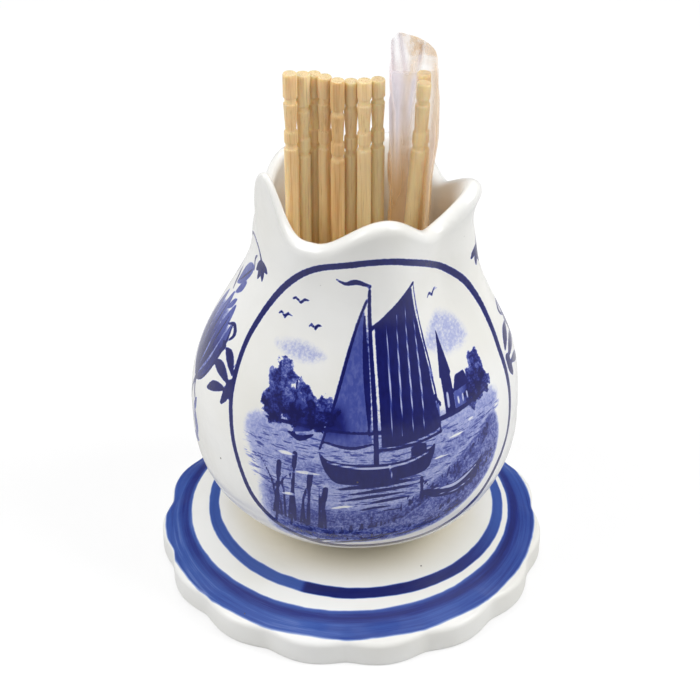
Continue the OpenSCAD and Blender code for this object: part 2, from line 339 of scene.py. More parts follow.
def shoulder_r(z):
    t = np.clip((z - BELLY_Z) / (THROAT_Z - BELLY_Z), 0, 1)
    return mix(THROAT_R, BELLY_R, (1 + np.cos(np.pi * t**SHOULDER_POWER)) / 2)


def plain_r(z):
    """The wall's radius without its furrows, on which the painting is laid out."""
    return np.where(z < BELLY_Z, bowl_r(np.minimum(z, BELLY_Z)), shoulder_r(z))


# %% The rings of the cup, from the waist up the outside and down the inside
BOWL_ROWS, SHOULDER_ROWS, PETAL_ROWS, LIP_ROWS = 50, 98, 24, 10
INSIDE_PETAL_ROWS, INSIDE_SHOULDER_ROWS, INSIDE_BOWL_ROWS = 8, 12, 9
FRONT_STEP, BACK_STEP, FRONT_HALF = 0.68, 0.95, 98

front = np.arange(-FRONT_HALF, FRONT_HALF, FRONT_STEP)
back = np.arange(FRONT_HALF, 360 - FRONT_HALF, BACK_STEP)
bearings = np.concatenate([front, back])
reach = PETAL_REACH * rim(bearings, *REACHES)
rise = PETAL_RISE * rim(bearings, *RISES)
depth = FURROW * (1 - rim(bearings, *BULGES))
lip = LIP * rim(bearings, *LIPS)
level = np.zeros_like(bearings)

throat_mid = np.stack([THROAT_R - WALL / 2 - depth, level + THROAT_Z])
lip_mid = np.stack([PINCH_R + reach, PINCH_Z - LIP / 2 + rise])
bend_mid = np.stack([
    mix(throat_mid[0], PINCH_R, BEND_IN) - reach * BEND_DRAW,
    mix(THROAT_Z, lip_mid[1], BEND_UP),
])


def petal_ring(t, turned=0):
    """The ring at share t of the way up the petals: outside at 0 degrees, inside at 180."""
    middle = throat_mid * (1 - t) ** 2 + bend_mid * 2 * t * (1 - t) + lip_mid * t**2
    run = (bend_mid - throat_mid) * (1 - t) + (lip_mid - bend_mid) * t
    run = run / np.hypot(*run)
    across = np.stack([run[1], -run[0]])
    turned = math.radians(turned)
    return middle + (across * math.cos(turned) + run * math.sin(turned)) * mix(WALL, lip, ease(t)) / 2


def shoulder_ring(z, wall=0):
    furrow = depth * ease((z - THROAT_Z + FURROW_LEN) / FURROW_LEN)
    return np.stack([shoulder_r(z) - furrow - wall, level + z])


def steps(low, high, count):
    return np.linspace(low, high, count, endpoint=False)


rings = [np.stack([level + WAIST_R / 2, level + WAIST_Z])]
rings += [np.stack([level + bowl_r(z), level + z]) for z in steps(WAIST_Z, BELLY_Z, BOWL_ROWS)]
rings += [shoulder_ring(z) for z in steps(BELLY_Z, THROAT_Z, SHOULDER_ROWS)]
outer_throat = len(rings)
rings += [petal_ring(t) for t in steps(0, 1, PETAL_ROWS)]
painted_rings = len(rings)
rings += [petal_ring(1, turned) for turned in steps(0, 180, LIP_ROWS)]
rings += [petal_ring(t, 180) for t in steps(1, 0, INSIDE_PETAL_ROWS)]
inner_throat = len(rings)
rings += [shoulder_ring(z, WALL) for z in steps(THROAT_Z, BELLY_Z, INSIDE_SHOULDER_ROWS)]
for turned in np.radians(steps(0, 90, INSIDE_BOWL_ROWS)):
    inside = (BELLY_R - WALL) * math.cos(turned), BELLY_Z - (BELLY_Z - FLOOR_Z) * math.sin(turned)
    rings.append(np.stack([level + x for x in inside]))
rings = np.array(rings)
print("The cup has", rings.shape[0], "rings of", rings.shape[2], "points")

# %% [markdown]
# The profile has a slight fold where the petals begin. Wet clay has none, so a few passes that
# draw each point towards the middle of its neighbours round it over, near the throat only. Then a
# long, shallow wave of less than a fifth of a millimetre takes the lathe's perfection off the
# wall. In the photograph the belly is also about a millimetre fuller on its right side.

# %% Round the throat over, and make the wall a little uneven
ROUNDING_PASSES, ROUNDING_ROWS, WAVE = 40, 11, 0.09
rows = np.arange(len(rings))
near = np.exp(-(((rows - outer_throat) / ROUNDING_ROWS) ** 2))
near += np.exp(-(((rows - inner_throat) / (ROUNDING_ROWS / 3)) ** 2))
near = np.clip(near, 0, 1)[1:-1, None, None]
for _ in range(ROUNDING_PASSES):
    middles = (rings[:-2] + rings[2:]) / 2
    rings[1:-1] = mix(rings[1:-1], middles, near / 2)
turned = np.radians(bearings)
z = rings[:, 1]
wave = np.sin(2 * turned + z / 9) + 0.6 * np.sin(3 * turned - z / 5 + 1)
wave += 0.4 * np.sin(7 * turned + z / 7)
rings[:, 0] += WAVE * wave * ease((z - WAIST_Z) / 4)
print("The wave moves the wall by up to", round(float(abs(WAVE * wave).max()), 2), "mm")

# %% Make its right side a little fuller
FULLER, FULL_FROM, FULL_TO = 0.95, (0, 45), (110, 160)
FULL_Z, PLAIN_Z = (WAIST_Z, WAIST_Z + 3), (37, 53)


def between(x, low, high):
    """0 below low and 1 above high, with a soft step over the span."""
    return ease((x - low) / (high - low))


fuller = between(bearings, *FULL_FROM) * (1 - between(bearings, *FULL_TO))
fuller = FULLER * fuller * between(z, *FULL_Z) * (1 - between(z, *PLAIN_Z))
rings[:painted_rings, 0] += fuller[:painted_rings]
print("The right side is up to", round(float(fuller.max()), 2), "mm fuller")

# %% [markdown]
# ## One closed skin
#
# The wall of the cup is one surface: outside, lip and inside. It could be a thin sheet with a
# Solidify modifier, but that gives one thickness everywhere, and here the lip is thinner than the
# wall. The rings already go down the inside, so their points only have to be joined. Four
# neighbours make a face, and one point closes each end. A skin without holes has a true inside,
# which light, shadows and an export all need. The film further down is made by the same helper.


# %% A closed skin through rings of points
def skin(name, places, poles, material):
    """A mesh through rings of points, in mm, closed by one point before them and one after. It
    also lies unrolled on a flat map, for when its finish is baked into a picture."""
    m, n = places.shape[:2]
    points = np.concatenate([places.reshape(-1, 3), poles]) * MM
    k = np.arange(n)
    after = (k + 1) % n
    low = np.arange(m - 1)[:, None] * n
    # Four-sided faces between the rings, then a fan of triangles at each end
    faces = np.stack([low + k, low + after, low + n + after, low + n + k], -1).reshape(-1, 4).tolist()
    faces += np.stack([k * 0 + m * n, after, k], -1).tolist()
    faces += np.stack([k * 0 + m * n + 1, k + (m - 1) * n, after + (m - 1) * n], -1).tolist()
    mesh = bpy.data.meshes.new(name)
    mesh.from_pydata(points, [], faces)
    # The same faces on the flat map, in the same order
    row = np.arange(1, m)[:, None]
    across = [np.broadcast_to(np.stack([k, k + 1, k + 1, k], -1), (m - 1, n, 4))]
    up = [np.broadcast_to(np.stack([row, row, row + 1, row + 1], -1), (m - 1, n, 4))]
    across += [np.stack([k + 0.5, k + 1, k], -1), np.stack([k + 0.5, k, k + 1], -1)]
    up += [np.tile((0, 1, 1), (n, 1)), np.tile((m + 1, m, m), (n, 1))]
    unrolled = [np.concatenate([part.ravel() for part in parts]) for parts in (across, up)]
    unrolled = np.stack(unrolled, -1) / (n, m + 1)
    mesh.uv_layers.new(name="OFBake").data.foreach_set("uv", unrolled.ravel().astype(np.float32))
    mesh.shade_smooth()
    mesh.materials.append(material)
    made = bpy.data.objects.new(name, mesh)
    bpy.context.scene.collection.objects.link(made)
    print(name, "has", len(faces), "faces")
    return made


def around(radius, bearings, height):
    """Points at a radius and height, on bearings in degrees to the right of the front."""
    turned = np.radians(bearings)
    return np.stack(np.broadcast_arrays(radius * np.sin(turned), -radius * np.cos(turned), height), -1)


def store(piece, name, values, elsewhere=0):
    """Keeps one value for each point of a piece, for its finish to read."""
    kept = np.full(len(piece.data.vertices), elsewhere, np.float32)
    kept[: values.size] = values.ravel()
    piece.data.attributes.new(name, "FLOAT", "POINT").data.foreach_set("value", kept)


# %% [markdown]
# ## The painting
#
# Such a cup is painted with cobalt on the raw clay and glazed over. Every mark is one press of a
# loaded brush: it starts thin, swells and lifts off. So a stroke here is a short list of points,
# each with the brush's width there, and a smooth curve goes through them.
#
# An image texture would blur and isn't wanted. Instead each point of the wall keeps its distance
# in mm to the nearest stroke of a colour, less than nothing inside it. Distances stay exact
# between the points of the mesh, so the finish can cut a sharp edge from them, or a soft one.
#
# The strokes are laid out on flat paper, in mm: x runs round the cup from the middle of the
# design, and y is the height above the table.

# %% The layers of paint, with a value at each point of the wall
FAR, LINES, TONES = 3.0, ("navy", "cobalt", "leafy", "spare"), ("wash", "deep", "ripple")
wall_z = rings[:painted_rings, 1]
wall_bearings = np.broadcast_to(bearings, wall_z.shape)
paint = {layer: np.full(wall_z.size, FAR if layer in LINES else 0.0) for layer in LINES + TONES}


def count_paint(what):
    """Prints how many points lie inside a stroke so far, after what was painted last."""
    print(what, {layer: int((paint[layer] < 0).sum()) for layer in LINES})


# %% A smooth line through a few points
def smooth(points, closed=False, step=0.35):
    """Points close together on a smooth curve through the given (x, y, width)."""
    points = np.array(points, float)
    ends = (points[-1:], points[:2]) if closed else (points[:1], points[-1:])
    p = np.concatenate([ends[0], points, ends[1]])
    dense = []
    for a, b, c, d in zip(p, p[1:], p[2:], p[3:]):
        count = max(2, int(np.hypot(*(c - b)[:2]) / step))
        t = np.linspace(0, 1, count, endpoint=False)[:, None]
        bend = t**2 * (a - 2.5 * b + 2 * c - d / 2) + t**3 * (b * 3 - a - c * 3 + d) / 2
        dense.append(b + t * (c - a) / 2 + bend)
    return np.concatenate([*dense, p[-2:-1]])


# %% Paper, and the brush on it
class Paper:
    """Flat paper round the cup: its middle lies on one bearing, and flip turns it over."""

    def __init__(self, bearing, flip=False):
        across = np.radians(turn(wall_bearings, bearing)) * plain_r(wall_z)
        self.spots = np.stack([-across if flip else across, wall_z], -1).reshape(-1, 2)

    def near(self, path, margin):
        """The spots of the wall that a path can reach."""
        low, high = path[:, :2].min(0) - margin, path[:, :2].max(0) + margin
        return np.flatnonzero(((self.spots > low) & (self.spots < high)).all(1))

    def to_line(self, where, path):
        """For each spot, its distance to the edge of the nearest stretch of a brushed line."""
        best = np.full(len(where), np.inf)
        for start, end in zip(path, path[1:]):
            run, from_start = end[:2] - start[:2], self.spots[where] - start[:2]
            t = np.clip(from_start @ run / max(run @ run, 1e-9), 0, 1)
            gap = np.hypot(*(from_start - t[:, None] * run).T) - mix(start[2], end[2], t) / 2
            best = np.minimum(best, gap)
        return best

    def brush(self, layer, *points, closed=False):
        """One stroke through points, each with its x, its y and the brush's width there."""
        path = smooth(points, closed)
        where = self.near(path, FAR)
        paint[layer][where] = np.minimum(paint[layer][where], self.to_line(where, path))

    def fill(self, layer, *corners, round_off=False, edge=None, strength=1.0):
        """Paints inside a closed outline. With an edge in mm, it is a wash that fades there."""
        path = np.array([(*corner, 0) for corner in corners], float)
        path = smooth(path, True) if round_off else path
        path = np.concatenate([path, path[:1]])
        where = self.near(path, FAR)
        gap = self.to_line(where, path)
        x, y = self.spots[where].T
        inside = np.zeros(len(where), bool)
        for (x0, y0, _), (x1, y1, _) in zip(path, path[1:]):
            if y0 != y1:
                inside ^= ((y0 > y) != (y1 > y)) & (x < mix(x0, x1, (y - y0) / (y1 - y0)))
        gap = np.where(inside, -gap, gap)
        if edge is None:
            paint[layer][where] = np.minimum(paint[layer][where], gap)
        else:
            paint[layer][where] = np.maximum(paint[layer][where], ease(0.5 - gap / edge) * strength)

    def leaf(self, layer, x, y, degrees, length, width, bend=0.0):
        """One press of the brush from (x, y), in a direction in degrees from the right."""
        way = np.array([math.cos(math.radians(degrees)), math.sin(math.radians(degrees))])
        side = np.array([-way[1], way[0]]) * bend * length
        marks = ((0, 0.25, 0), (0.35, 0.85, 0.75), (0.7, 1.0, 0.9), (1.0, 0.3, 0))
        start = np.array((x, y))
        self.brush(layer, *[(*(start + way * length * t + side * b), width * w) for t, w, b in marks])

    def lines(self, layer, *strokes):
        for stroke in strokes:
            self.brush(layer, *stroke)

    def shapes(self, layer, *outlines, round_off=False):
        for outline in outlines:
            self.fill(layer, *outline, round_off=round_off)

    def washes(self, layer, *patches):
        """Soft patches of tone, each with its edge's width, its strength and its outline."""
        for edge, strength, *outline in patches:
            self.fill(layer, *outline, round_off=True, edge=edge, strength=strength)

    def leaves(self, layer, bend, *presses):
        for press in presses:
            self.leaf(layer, *press, bend)


# %% [markdown]
# The front carries a medallion: a navy line drawn round it with the lining brush, and inside it a
# landscape in many tones of one blue. Here that is a sailing barge on quiet water, with a far bank
# of trees, a church and houses on it, and posts, reeds, grass and a rowing boat in front.

# %% The medallion's line
picture = Paper(12)
picture.brush(
    "navy",
    (-12.4, 57.2, 0.95), (-8.8, 59.2, 0.95), (-4.6, 60.5, 0.95), (-0.9, 61.2, 0.95), (2.6, 60.9, 0.95),
    (6.6, 59.3, 0.95), (10.6, 57.3, 0.95), (14.2, 55.3, 0.95), (17.8, 52.2, 0.9), (20.4, 48.2, 0.9),
    (21.8, 44.4, 0.85), (22.5, 41, 0.85), (23.2, 38, 0.85), (23.7, 35, 0.85), (23.7, 32.6, 0.85),
    (23.4, 30.3, 0.85), (22.7, 28, 0.85), (21.3, 26, 0.85), (19.3, 24.2, 0.9), (16, 21.3, 1),
    (13, 19.5, 1.1), (10.3, 18.1, 1.15), (7.2, 16.7, 1.2), (2.9, 15.6, 1.25), (-2.1, 15.3, 1.25),
    (-7.4, 15.8, 1.2), (-10.6, 16.8, 1.1), (-13.8, 18.4, 1), (-17.1, 20.9, 0.9), (-20.6, 24.7, 0.8),
    (-23.2, 30.4, 0.75), (-24.4, 34.6, 0.8), (-24.9, 38.7, 0.9), (-23.7, 44.2, 0.9), (-21, 48.7, 0.9),
    (-16.8, 53.4, 0.95),
    closed=True,
)
count_paint("The medallion's line:")

# %% Room for the picture, which keeps clear of the line at the right and below
RIGHT_IN, SHORE_Z, LOW_IN, LOW_RIGHT_IN = 0.81, 36, 1.1, 0.014
x, y = picture.spots.T
low = (SHORE_Z - y) * (LOW_IN + LOW_RIGHT_IN * x)
picture.spots = np.stack([np.where(x > 0, x / RIGHT_IN, x), np.where(y < SHORE_Z, SHORE_Z - low, y)], -1)

# %% Sky, water and the far bank
picture.washes(
    "wash",
    (2.4, 0.24, (-18, 38), (-18.5, 30), (-15, 25), (-4, 22), (8, 26), (20, 32), (21.5, 38)),
    (3, 0.36, (-16, 34), (-6, 33.4), (9, 34), (20, 36), (19, 33), (6, 29), (-12, 29.5)),
    (4, 0.55, (-17.4, 29), (-12, 27), (-4, 25), (6, 24), (2, 19), (-12, 19), (-16.6, 23)),
    (2.2, 0.13, (9, 47.5), (13, 50.2), (18, 48.6), (20, 45.4), (14, 45)),
    (2, 0.12, (-17, 47), (-12, 48.2), (-8, 46.8), (-12, 45.6)),
)
picture.washes(
    "ripple", (2.5, 1, (-18, 36.5), (-18, 28), (-12, 23), (-2, 22), (10, 27), (21, 32), (21, 36.5)),
)
shore = (-18, 37.6, 0.3), (-12, 37.8, 0.6), (-4, 37.5, 0.45), (4, 37.7, 0.45), (13, 37.9, 0.7)
picture.brush("navy", *shore, (21.5, 38.2, 0.35))
crowns = (
    (-17, 39.6, 3.2), (-16, 42.4, 3.4), (-14.6, 44.4, 2.4), (-13.6, 40.6, 4), (-11.8, 42.2, 2.6),
    (-10.6, 39.6, 3.2), (-8.2, 40.6, 2.8), (7.8, 39.2, 2.4), (18.6, 40.2, 3.6), (20, 42.2, 3),
    (16.9, 39, 2.4), (21, 39.8, 2.4),
)
picture.lines("leafy", *[((x, y, wide), (x + 0.6, y - 0.9, wide)) for x, y, wide in crowns])
for x, y in ((-17, 38.6), (-13.8, 38.7), (-10, 38.6), (-7.6, 38.8), (18.2, 38.9), (20.8, 39.2)):
    shade = (x - 2.2, y - 1.4), (x + 2.2, y - 1.4), (x + 1.6, y + 1.6), (x - 1.4, y + 2)
    picture.fill("deep", *shade, edge=2.6)
trunks = (-15.6, 38, 3.2), (-13.4, 38, 2.6), (-10.2, 38, 2.4), (19.6, 38.2, 3)
picture.lines("navy", *[((x, y, 0.45), (x + 0.2, y + high, 0.25)) for x, y, high in trunks])
count_paint("With the far bank:")

# %% The church and the houses beside it
picture.shapes(
    "navy",
    ((11.2, 38), (11.2, 43), (13.4, 43), (13.4, 38)),
    ((10.9, 42.8), (12.3, 48.6), (13.7, 42.8)),
    ((13.4, 40.4), (14.4, 42.2), (16.8, 42.2), (17.6, 40.4)),
)
picture.shapes(
    "cobalt",
    ((13.4, 38), (13.4, 40.4), (14.4, 42), (16.6, 42), (17.4, 40.4), (17.4, 38)),
    ((7.2, 38), (7.2, 39.8), (8.6, 41.2), (10, 39.8), (10, 38)),
)
picture.brush("navy", (6.8, 39.6, 0.4), (8.6, 41.4, 0.45), (10.3, 39.7, 0.4))
picture.brush("spare", (12, 39, 0.5), (12, 40.6, 0.5))
picture.lines("spare", *[((x, 38.8, 0.4), (x, 39.5, 0.4)) for x in (14.3, 15.4, 16.5)])
count_paint("With the church:")

# %% The barge: hull and cabin, sails, then mast, spars and rigging
hull = (-9.6, 34.7), (-8.2, 33.4), (-3, 32.6), (3, 32.7), (7.6, 33.8), (8.6, 34.6), (8, 31.8), (5.6, 29.6)
picture.fill("navy", *hull, (-5.4, 29.4), (-8.4, 31.2), round_off=True)
picture.brush("cobalt", (1.2, 32.4, 1.2), (1.8, 30.6, 1.9), (1.6, 29.6, 1.5))
picture.lines(
    "spare",
    ((-8.4, 33.1, 0.25), (-3, 32, 0.4), (3, 32.1, 0.4), (7.4, 33.2, 0.25)),
    ((0.4, 32.2, 0.2), (0.7, 30.4, 0.35), (0.6, 29.6, 0.2)),
)
picture.shapes(
    "navy",
    ((4.2, 33), (4.2, 34.8), (7, 35), (7, 33.4)),
    ((-0.7, 35.2), (-0.5, 51.6), (6.9, 55.8), (8.7, 47), (9.6, 36.6), (4, 35.6)),
)
seams = (1, 1.5, 51.7), (2.8, 3.5, 52.7), (4.7, 5.4, 53.8), (6.7, 7.2, 52)
for low, high, top in seams:
    picture.brush("spare", (low, 36.8, 0.12), (low + 0.3, 44, 0.34), (high, top, 0.12))
picture.fill("cobalt", (-1.9, 54.2), (-8.9, 36), (-5, 35.4), (-2, 36))
picture.lines(
    "navy",
    ((-1.5, 32.6, 0.75), (-1.3, 45, 0.6), (-1.1, 57, 0.4)),
    ((-1, 51.3, 0.5), (3, 53.8, 0.5), (7.4, 56.4, 0.45)),
    ((-1.2, 34.8, 0.5), (4, 35.1, 0.5), (10, 36.1, 0.45)),
    ((-1.5, 55.4, 0.3), (-5.6, 45, 0.5), (-9.4, 35, 0.35)),
    ((-8.9, 36, 0.35), (-5, 35.3, 0.5), (-2, 35.9, 0.35)),
    ((-2.3, 37, 0.3), (-2.2, 45, 0.9), (-1.9, 53, 0.3)),
    ((-1, 57.6, 0.35), (-3, 58.1, 0.75), (-4.6, 57.6, 0.5), (-6, 58, 0.2)),
    ((7.4, 56.4, 0.2), (9.2, 46, 0.3), (9.9, 36.4, 0.2)),
)
count_paint("With the barge:")

# %% What the water shows of her, a smaller sail further off, and gulls
for y, low, high, wide in ((28.7, -7.6, 6.8, 0.9), (27.6, -6, 7.4, 0.7), (26.6, -6.8, 4.6, 0.6),
                           (25.5, -3.6, 5.6, 0.6), (24.4, -4.4, 1.8, 0.5), (23.4, -1.6, 2.6, 0.4)):
    picture.brush("navy", (low, y, 0.15), (mix(low, high, 0.4), y + 0.15, wide), (high, y - 0.1, 0.15))
picture.fill("cobalt", (-13.4, 36.6), (-12.6, 42.8), (-10.6, 37.2))
picture.brush("navy", (-14.2, 36.6, 0.3), (-12.4, 36, 0.8), (-10.4, 36.7, 0.3))
picture.brush("navy", (-13.2, 36.5, 0.3), (-12.8, 43.4, 0.3))
for x, y, wing in ((-12.4, 53, 1.7), (-15.4, 50.4, 1.3), (13.2, 52.6, 1.6), (-9.8, 50, 1.1)):
    picture.lines(
        "navy",
        ((x - wing, y + 0.1, 0.1), (x - wing * 0.55, y + 0.5, 0.34), (x, y, 0.3)),
        ((x, y, 0.3), (x + wing * 0.5, y + 0.62, 0.32), (x + wing * 1.1, y + 0.5, 0.1)),
    )
count_paint("With the water and the gulls:")

# %% The near bank, with its rowing boat and mooring post
bank = (
    (22.6, 34), (17, 32), (11, 28.8), (6, 26), (1, 23.2), (-6, 21.6), (-13, 22.6), (-16.5, 24.6),
    (-14, 20.6), (-8, 17.8), (0, 15.6), (8, 16), (16, 18.6), (22, 22.4), (24, 28),
)
picture.washes("wash", (1.2, 0.5, *bank))
picture.lines(
    "leafy",
    ((20.4, 31.2, 2), (13.6, 27.4, 2.8), (8, 24.8, 2), (1.4, 21.4, 1.6)),
    ((20.8, 25.6, 2.6), (15.4, 23.2, 3.2), (10.6, 21.6, 1.6)),
    ((-12.6, 21, 1.8), (-6, 19.4, 2), (-1.6, 18, 1)),
    ((18.6, 21.4, 1.2), (12, 18.8, 2), (4.6, 17.4, 1.2)),
)
for k, (x, wide) in enumerate(((-5, 6), (-9, 4), (0, 7), (4, 6), (8, 7), (12, 4), (-2, 5))):
    y = 16.3 + abs(x - 1) * 0.11 + (k % 3) * 0.55
    picture.brush("navy", (x - wide / 2, y, 0.15), (x, y - 0.15, 0.7), (x + wide / 2, y + 0.2, 0.15))
boat = (6.4, 25.8), (7.6, 23.9), (12.6, 22.2), (17, 22.9), (19.2, 26.8), (17.6, 26.2), (12.2, 24.8)
picture.fill("navy", *boat, round_off=True)
picture.lines(
    "spare",
    ((8.2, 25.4, 0.2), (12.6, 24.3, 0.7), (17.4, 25.6, 0.25)),
    ((8.8, 23.9, 0.15), (12.8, 22.9, 0.35), (16.6, 23.5, 0.15)),
)
picture.lines(
    "navy",
    ((11, 25.2, 0.5), (11.3, 23.8, 0.5)),
    ((14.6, 25.4, 0.5), (14.9, 24, 0.5)),
    ((6, 28.6, 0.55), (6.2, 24, 0.55)),
    ((6.2, 28, 0.35), (7.4, 26.4, 0.3), (8.4, 25.6, 0.3)),
)
for x, y, wide in ((-14.5, 33.6, 3.2), (-11.5, 31.2, 4.4), (13, 34.2, 4.2), (-6.4, 25.4, 3.6),
                   (9.6, 31.4, 3), (-14, 27.6, 2.6), (16.6, 35.6, 3)):
    picture.brush("spare", (x - wide / 2, y, 0.1), (x, y + 0.12, 0.5), (x + wide / 2, y - 0.05, 0.1))
count_paint("With the near bank:")

# %% Reeds and grass, drawn with quick upward flicks
GRASS_SEED = 5
chance = np.random.default_rng(GRASS_SEED)


def flicks(count, x0, x1, y0, y1, low, high, wide):
    """Blades that spring from a line between two points, each as high as chance has it."""
    for share in (np.arange(count) + chance.uniform(0, 1, count)) / count:
        x, y, long = mix(x0, x1, share), mix(y0, y1, share), chance.uniform(low, high)
        sway = chance.normal(0, 0.22) * long
        middle, tip = (x + sway * 0.3, y + long * 0.6, wide * 0.8), (x + sway, y + long, 0.12)
        picture.brush("navy", (x, y, wide), middle, tip)


flicks(12, -17, -8, 24.6, 21, 4, 9.5, 0.42)
flicks(20, 21.6, 2.4, 31.8, 22.8, 0.8, 2.2, 0.42)
flicks(16, 22.4, 9, 24.8, 19.6, 0.8, 1.8, 0.45)
flicks(14, -7.6, 1.6, 19.6, 20.6, 0.8, 2.6, 0.4)
flicks(14, -9.5, 14.5, 17.6, 18.2, 0.5, 1.3, 0.4)
for x, y in ((-15.6, 31.4), (-13.2, 33), (-10.9, 30.4), (-8.8, 28)):
    picture.brush("navy", (x, y - 1, 0.7), (x + 0.15, y + 0.8, 0.8))
    picture.brush("navy", (x - 0.4, 22, 0.42), (x, y - 1, 0.42))
count_paint("With the reeds and grass:")

# %% [markdown]
# Round the rest of the belly go three sprays of flowers, in the traditional way: a tall bloom in
# washes with navy lines over them, bells on thin stems, and leaves that are one press of the brush
# each. One spray, about 30 mm wide, is drawn, and it is laid on three papers round the cup, one of
# them turned over.


# %% The bell at the top of a spray
def paint_bell(paper):
    """The bell that hangs over at the top, with a bud and three leaves under it."""
    for degrees, long, wide in ((232, 2.6, 1.1), (262, 3.0, 1.15), (292, 2.9, 1.1), (330, 2.4, 0.95)):
        paper.leaf("navy", 9.5, 55.7, degrees, long, wide)
    paper.lines(
        "navy",
        ((2.2, 56.9, 0.45), (5.2, 58, 0.45), (7.8, 57.3, 0.45), (9.4, 55.6, 0.5)),
        ((7.4, 55.6, 0.2), (6.5, 54.6, 0.5), (7.1, 53.1, 0.2)),
        ((6.6, 53.1, 0.2), (4.6, 51.2, 0.5), (2.6, 49.2, 0.2)),
    )
    paper.brush("cobalt", (6.8, 53.4, 0.4), (5.3, 52.2, 2.3), (3.4, 50.5, 2.6), (2.2, 48.9, 0.7))
    paper.leaves("cobalt", 0, (3.9, 48, 48, 3.2, 1.5), (4.3, 45.5, 52, 2.6, 1.2))
    paper.leaf("navy", 1.9, 47.4, 118, 3.4, 1.0, 0.1)


# %% The tall bloom in its middle
def paint_bloom(paper):
    """The tall bloom: petals, the wash behind them, a deeper foot, and lines over all."""
    paper.shapes(
        "cobalt",
        ((4.8, 34.8), (1.2, 36.2), (-1.5, 39.8), (-1.4, 43.4), (0.4, 46.4), (1.5, 43), (2.7, 39.2)),
        ((5, 34.8), (2.9, 39.4), (1.9, 43.4), (3.4, 47.8), (5, 43.6), (5.5, 39)),
        ((5.3, 34.8), (5.9, 39.2), (5.3, 43.6), (6.7, 47.2), (8, 43.2), (7.5, 38.8)),
        ((5.8, 34.8), (7.9, 38.4), (8.3, 42), (8.6, 45.2), (9.8, 42.4), (9.4, 38.6), (8, 36)),
        round_off=True,
    )
    behind = (4.8, 35), (-0.6, 39), (0, 44), (4, 45.6), (8.4, 44), (8.8, 39), (6.4, 35.4)
    paper.washes("wash", (1, 0.4, *behind))
    paper.washes("deep", (6, 1, (0, 41.5), (9.6, 41.5), (8.6, 36.6), (5.6, 33.6), (2, 35.6)))
    paper.lines(
        "navy",
        ((8.8, 45.4, 0.3), (9.9, 42.4, 0.5), (9.5, 38.6, 0.5), (8, 35.9, 0.5), (6, 34.6, 0.5)),
        ((3.5, 46, 0.25), (3.8, 42.4, 0.5), (4.5, 38, 0.55), (5.2, 34.6, 0.5)),
        ((6.7, 45.4, 0.25), (6.6, 42, 0.5), (6.4, 38, 0.55), (5.6, 34.6, 0.5)),
        ((0.2, 45.2, 0.25), (-0.1, 41.4, 0.5), (1.5, 37.6, 0.5), (4.6, 34.6, 0.5)),
        ((7.6, 44.7, 0.3), (9.3, 45.4, 0.5), (10.7, 44.5, 0.7), (10.2, 43.4, 0.3)),
        ((9.1, 42.7, 0.4), (10, 42.2, 1.0), (9.4, 41.3, 0.5)),
    )


# %% Its stems and leaves
def paint_stems(paper):
    """Stems, a small bell on one, their leaves, and three dark leaves at the medallion's line."""
    paper.lines(
        "navy",
        ((5.6, 34.8, 0.6), (6.3, 32.6, 0.55), (7.9, 31.2, 0.45)),
        ((5.6, 34.8, 0.6), (4.2, 30, 0.58), (4.8, 25, 0.55), (7, 21.4, 0.45)),
        ((4.4, 29, 0.5), (0, 26.4, 0.58), (-5, 28.8, 0.58), (-8, 34, 0.58), (-8.4, 39.6, 0.5)),
        ((-8.2, 36, 0.45), (-11.4, 38.4, 0.52), (-13.2, 42, 0.45)),
        ((2.2, 57, 0.45), (-1.6, 55.2, 0.5), (-4, 51.4, 0.5), (-5, 48.4, 0.45)),
        ((15.2, 38.9, 1.3), (15.4, 37.2, 1.5), (15.1, 36, 0.7)),
    )
    paper.leaves(
        "navy", -0.08,
        (14.9, 40.2, 152, 4.6, 1.4), (14.7, 38.9, 170, 5.0, 1.6), (14.7, 37.8, 205, 4.4, 1.5),
    )
    paper.leaves(
        "cobalt", 0.06,
        (7.9, 32.2, 250, 2.4, 1.2), (7.2, 30.4, 290, 4.4, 1.4), (6, 29.4, 300, 5.2, 1.0),
        (4.3, 27.6, 200, 3.6, 1.3), (4.9, 24.4, 190, 3.8, 1.3), (5.2, 24, 20, 4.2, 1.3),
        (-1.2, 26.6, 250, 3.4, 1.2), (-4.6, 28.4, 215, 3.8, 1.3), (-6.8, 31.6, 200, 4.0, 1.4),
        (-4.2, 28.6, 80, 3.6, 1.2), (-7.4, 32.8, 55, 3.4, 1.2), (-8.2, 36.6, 40, 3.0, 1.0),
        (-12.6, 40.4, 200, 2.6, 1.1), (-13.1, 41.6, 95, 3.0, 1.2), (-11.6, 38.6, 60, 2.6, 1.0),
        (-3.4, 52.4, 200, 3.0, 1.1), (-4.4, 50, 320, 2.8, 1.1), (-1.2, 55.4, 110, 2.4, 0.9),
    )
    for degrees in (235, 268, 300):
        paper.leaf("navy", -5, 48.6, degrees, 2.5, 1.0)


# %% Its daisy, and three sprays round the cup
def paint_daisy(paper):
    for degrees in range(12, 360, 60):
        paper.leaf("cobalt", -8.4, 42.4, degrees, 3.1, 2.0)
        paper.leaf("navy", -8.4, 42.4, degrees, 2.2, 0.5)
    paper.brush("navy", (-8.6, 42.4, 1.3), (-8.2, 42.5, 1.3))


def spray(paper):
    paint_bell(paper)
    paint_bloom(paper)
    paint_stems(paper)
    paint_daisy(paper)


spray(Paper(-92))
spray(Paper(-170))
spray(Paper(113, flip=True))
count_paint("With the sprays:")

# %% [markdown]
# ## The glaze
#
# Cobalt is one colour that looks like many: thin, it is a pale violet blue, and thick, almost
# black. So the finish works out a single number, how much cobalt lies under the glaze, and one
# ramp turns it into colour. Noise in the numbers gives the streaks of the brush and the grain of
# a printed tone. The glaze over it is a coat, smooth but never quite flat.


